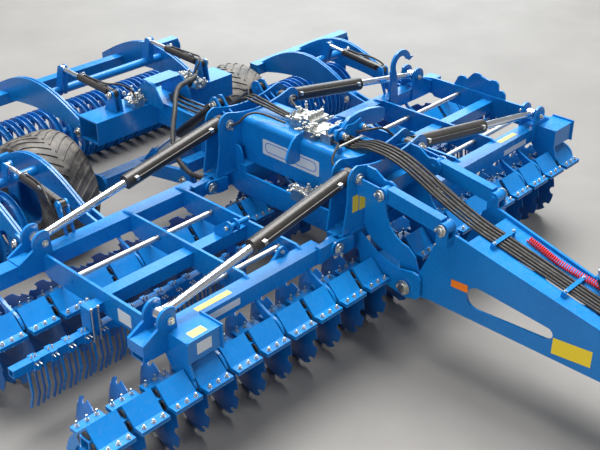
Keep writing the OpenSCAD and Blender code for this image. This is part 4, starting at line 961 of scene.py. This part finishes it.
def left_hook(blue):
    """The hook plate and its distance piece before the left wing's rear tube."""
    x, z = 1.745, 1.235
    thick = 0.02
    spacer_half = 0.0101
    spacer_y = REAR_TUBE_Y - 0.0004 - spacer_half
    hook_y = spacer_y - spacer_half - 0.0001 - thick / 2
    hook = [(1.60, 0.80), (1.62, 1.10), (1.60, 1.20)] + arc(x, z, 0.135, 190, 20, 12)
    hook += [(1.915, 1.27), (1.86, 1.245)] + arc(x, z, 0.08, 25, 200, 9) + [(1.70, 1.12), (1.73, 0.80)]
    blue.plate(hook, at(0, hook_y, 0), X, Z, thick)
    blue.box(at(1.665, spacer_y, 0.86), (0.045, spacer_half, 0.035))


def left_guard(blue, bright):
    """The lobed guard plate on the left wing's outer plate, with its bolts."""
    thick = 0.016
    inside = outer_face("left") + 0.0006
    lobes = ((1.165, 0.985), (1.01, 1.045), (0.83, 1.03), (0.745, 0.965))
    guard = [(1.25, 0.85), (1.25, 0.95)] + arc(*lobes[0], 0.062, 10, 140) + arc(*lobes[1], 0.068, 40, 140)
    guard += arc(*lobes[2], 0.062, 50, 150) + arc(*lobes[3], 0.05, 60, 180) + [(0.695, 0.85)]
    blue.plate(guard, at(inside + thick / 2, 0, 0), Y, Z, thick)
    for y, z in (*lobes[:3], (0.745, 0.90), (1.20, 0.90)):
        bright.bolt(at(inside + thick + 0.0001, y, z), X, 0.015)


def tine_bar_clip(blue, bright, side, s):
    """The clip of the tine bar beside the outer plate, with its two U-bolts."""
    out = outer_face(side)
    clip = out + 0.085
    rod_r = 0.0065
    legs = around(TINE_BAR_Y, 0.057)
    blue.box(at(s * clip, TINE_BAR_Y, 0.776), (0.038, 0.05, 0.085))
    blue.box(at(s * (out + 0.024), TINE_BAR_Y, 0.83), (0.0235, 0.04, 0.03))
    for x in around(clip, 0.026):
        for y in legs:
            bright.rod(at(s * x, y, 0.612), at(s * x, y, 0.872), rod_r, 10)
            bright.bolt(at(s * x, y, 0.8615), Z, 0.011)
        bright.rod(at(s * x, legs[0] - 0.0055, 0.618), at(s * x, legs[1] + 0.0055, 0.618), rod_r, 10)


def tine_details(bright, tines, side, s):
    """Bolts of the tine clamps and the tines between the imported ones."""
    profile = [(0.0, 0.007), (0.02, 0.007), (0.04, -0.008), (0.066, -0.12), (0.048, -0.295), (0.096, -0.43),
               (0.083, -0.434), (0.034, -0.296), (0.052, -0.12), (0.028, -0.016), (0.014, -0.007),
               (0.0, -0.007)]
    count = int((LAST_TINE_X[side] - FIRST_TINE_X) / TINE_PITCH) + 1
    bolt_size = 0.0085
    tine_back = TINE_BAR_Y + 0.0305
    clamp_front = TINE_BAR_Y - 0.0424
    for k in range(count):
        x = FIRST_TINE_X + TINE_PITCH * k
        for bolt_x in around(x, 0.013):
            bright.bolt(at(s * bolt_x, clamp_front, 0.672), -Y, bolt_size, 0.02)
            bright.bolt(at(s * bolt_x, TINE_BAR_Y, 0.6943), Z, bolt_size, 0.012)
        if k < count - 1:
            for step in (0.042, 0.083):
                tines.plate(profile, at(s * (x + step), tine_back, 0.65), Y, Z, 0.012)


def tie_sleeves(side, s):
    """Distance sleeves over the tie rods, between the long plates."""
    sleeves = Solids()
    inset = 0.045
    plates = [gap_x(k) for k in PLATE_GAPS[side]]
    for a, b in zip(plates, plates[1:]):
        for y in TIE_YS:
            sleeves.rod(at(s * (a + inset), y, TIE_Z), at(s * (b - inset), y, TIE_Z), 0.0195, 24)
    piece("tie_sleeves_" + side, sleeves, "sleeve", "wing_" + side)


def wing_details():
    """Lugs, the hook and the guard on the wings, and what goes with the tine bars and the tie rods."""
    for side, s in SIDES:
        body = "wing_" + side
        blue, bright, tines = Solids(), Solids(), Solids()
        tube_ears(blue, bright, s)
        if side == "right":
            right_lug(blue, bright)
        else:
            left_hook(blue)
            left_guard(blue, bright)
        tine_bar_clip(blue, bright, side, s)
        tine_details(bright, tines, side, s)
        piece("wing_lugs_" + side, blue, "blue_paint", body)
        piece("wing_bolts_" + side, bright, "zinc", body)
        # The tines take the discs' material, whose darker blue is painted shade
        piece("tines_between_" + side, tines, "disc_steel", body)
        tie_sleeves(side, s)


def make_pieces():
    for body in ("root", "wing_right", "wing_left"):
        clamp_details(body)
    pin_heads()
    signs()
    valve_groups()
    hose_bundle()
    frame_hoses()
    for side, s in SIDES:
        tyre_tread(side, s)
    middle_bracket()
    drawbar_details()
    rear_details()
    arch_webs()
    wing_details()
    port_pipes()
    soften_edges()


# Stage, lights and camera

FLOOR_HALF = 40.0
SKY_COLOUR = (0.86, 0.92, 1.0)
SKY_STRENGTH = 0.34
LIT_POINT = at(0, 0.8, 0.6)


def stage():
    floor = bpy.data.meshes.new("floor")
    floor.from_pydata([(FLOOR_HALF * a, FLOOR_HALF * b, 0) for a, b in SQUARE], [], [(0, 1, 2, 3)])
    s = Shader("pale_floor")
    clouds = s.ramp(s.noise(0.9, detail=7.0, rough=0.6), 0.3, 0.75)
    tone = s.mix(clouds, (0.165, 0.159, 0.151), (0.202, 0.195, 0.185))
    grit = s.bump(s.noise(60.0, detail=5.0), 0.001, 0.3)
    floor.materials.append(s.shade(Base_Color=tone, Roughness=0.75, Normal=grit))
    made = bpy.data.objects.new("floor", floor)
    bpy.context.scene.collection.objects.link(made)
    world = bpy.data.worlds.new("soft_studio")
    bpy.context.scene.world = world
    world.use_nodes = True
    sky = world.node_tree.nodes["Background"]
    sky.inputs["Color"].default_value = (*SKY_COLOUR, 1.0)
    sky.inputs["Strength"].default_value = SKY_STRENGTH
    bpy.context.scene.view_settings.view_transform = "Standard"


def shine(name, light, place):
    """Puts a light at a place, turned to the middle of the harrow."""
    made = bpy.data.objects.new(name, light)
    made.location = place
    made.rotation_euler = (LIT_POINT - place).to_track_quat("-Z", "Y").to_euler()
    bpy.context.scene.collection.objects.link(made)


def area_light(name, place, size, power, colour):
    light = bpy.data.lights.new(name, "AREA")
    light.size = size
    light.energy = power
    light.color = colour
    shine(name, light, place)


def lights():
    """A wide sun as the key, a fill from the right and a large soft light behind for the gloss."""
    sun = bpy.data.lights.new("key", "SUN")
    sun.energy = 7.4
    sun.angle = math.radians(50)
    sun.color = (1.0, 0.985, 0.96)
    shine("key", sun, at(1.4, 2.6, 8.0))
    area_light("fill", at(-9.0, -2.6, 4.0), 4.0, 300.0, (0.95, 0.97, 1.0))
    area_light("gloss", at(6.4, 6.6, 4.6), 7.0, 480.0, (0.80, 0.91, 1.0))


# The photograph's camera, solved from its perspective
CAMERA_PLACE = (-5.0455, -3.7346, 4.4984)
CAMERA_HEADING = math.radians(46.562)
CAMERA_PITCH = math.radians(30.06)
CAMERA_LENS = 60.48


def camera():
    made = bpy.data.objects.new("camera", bpy.data.cameras.new("camera"))
    made.data.lens = CAMERA_LENS
    made.data.sensor_width = 36.0
    made.location = at(*CAMERA_PLACE)
    made.rotation_euler = (math.pi / 2 - CAMERA_PITCH, 0, -CAMERA_HEADING)
    bpy.context.scene.collection.objects.link(made)
    bpy.context.scene.camera = made


dress_frame()
camera()
coil()
spiral_hose()
make_pieces()
stage()
lights()
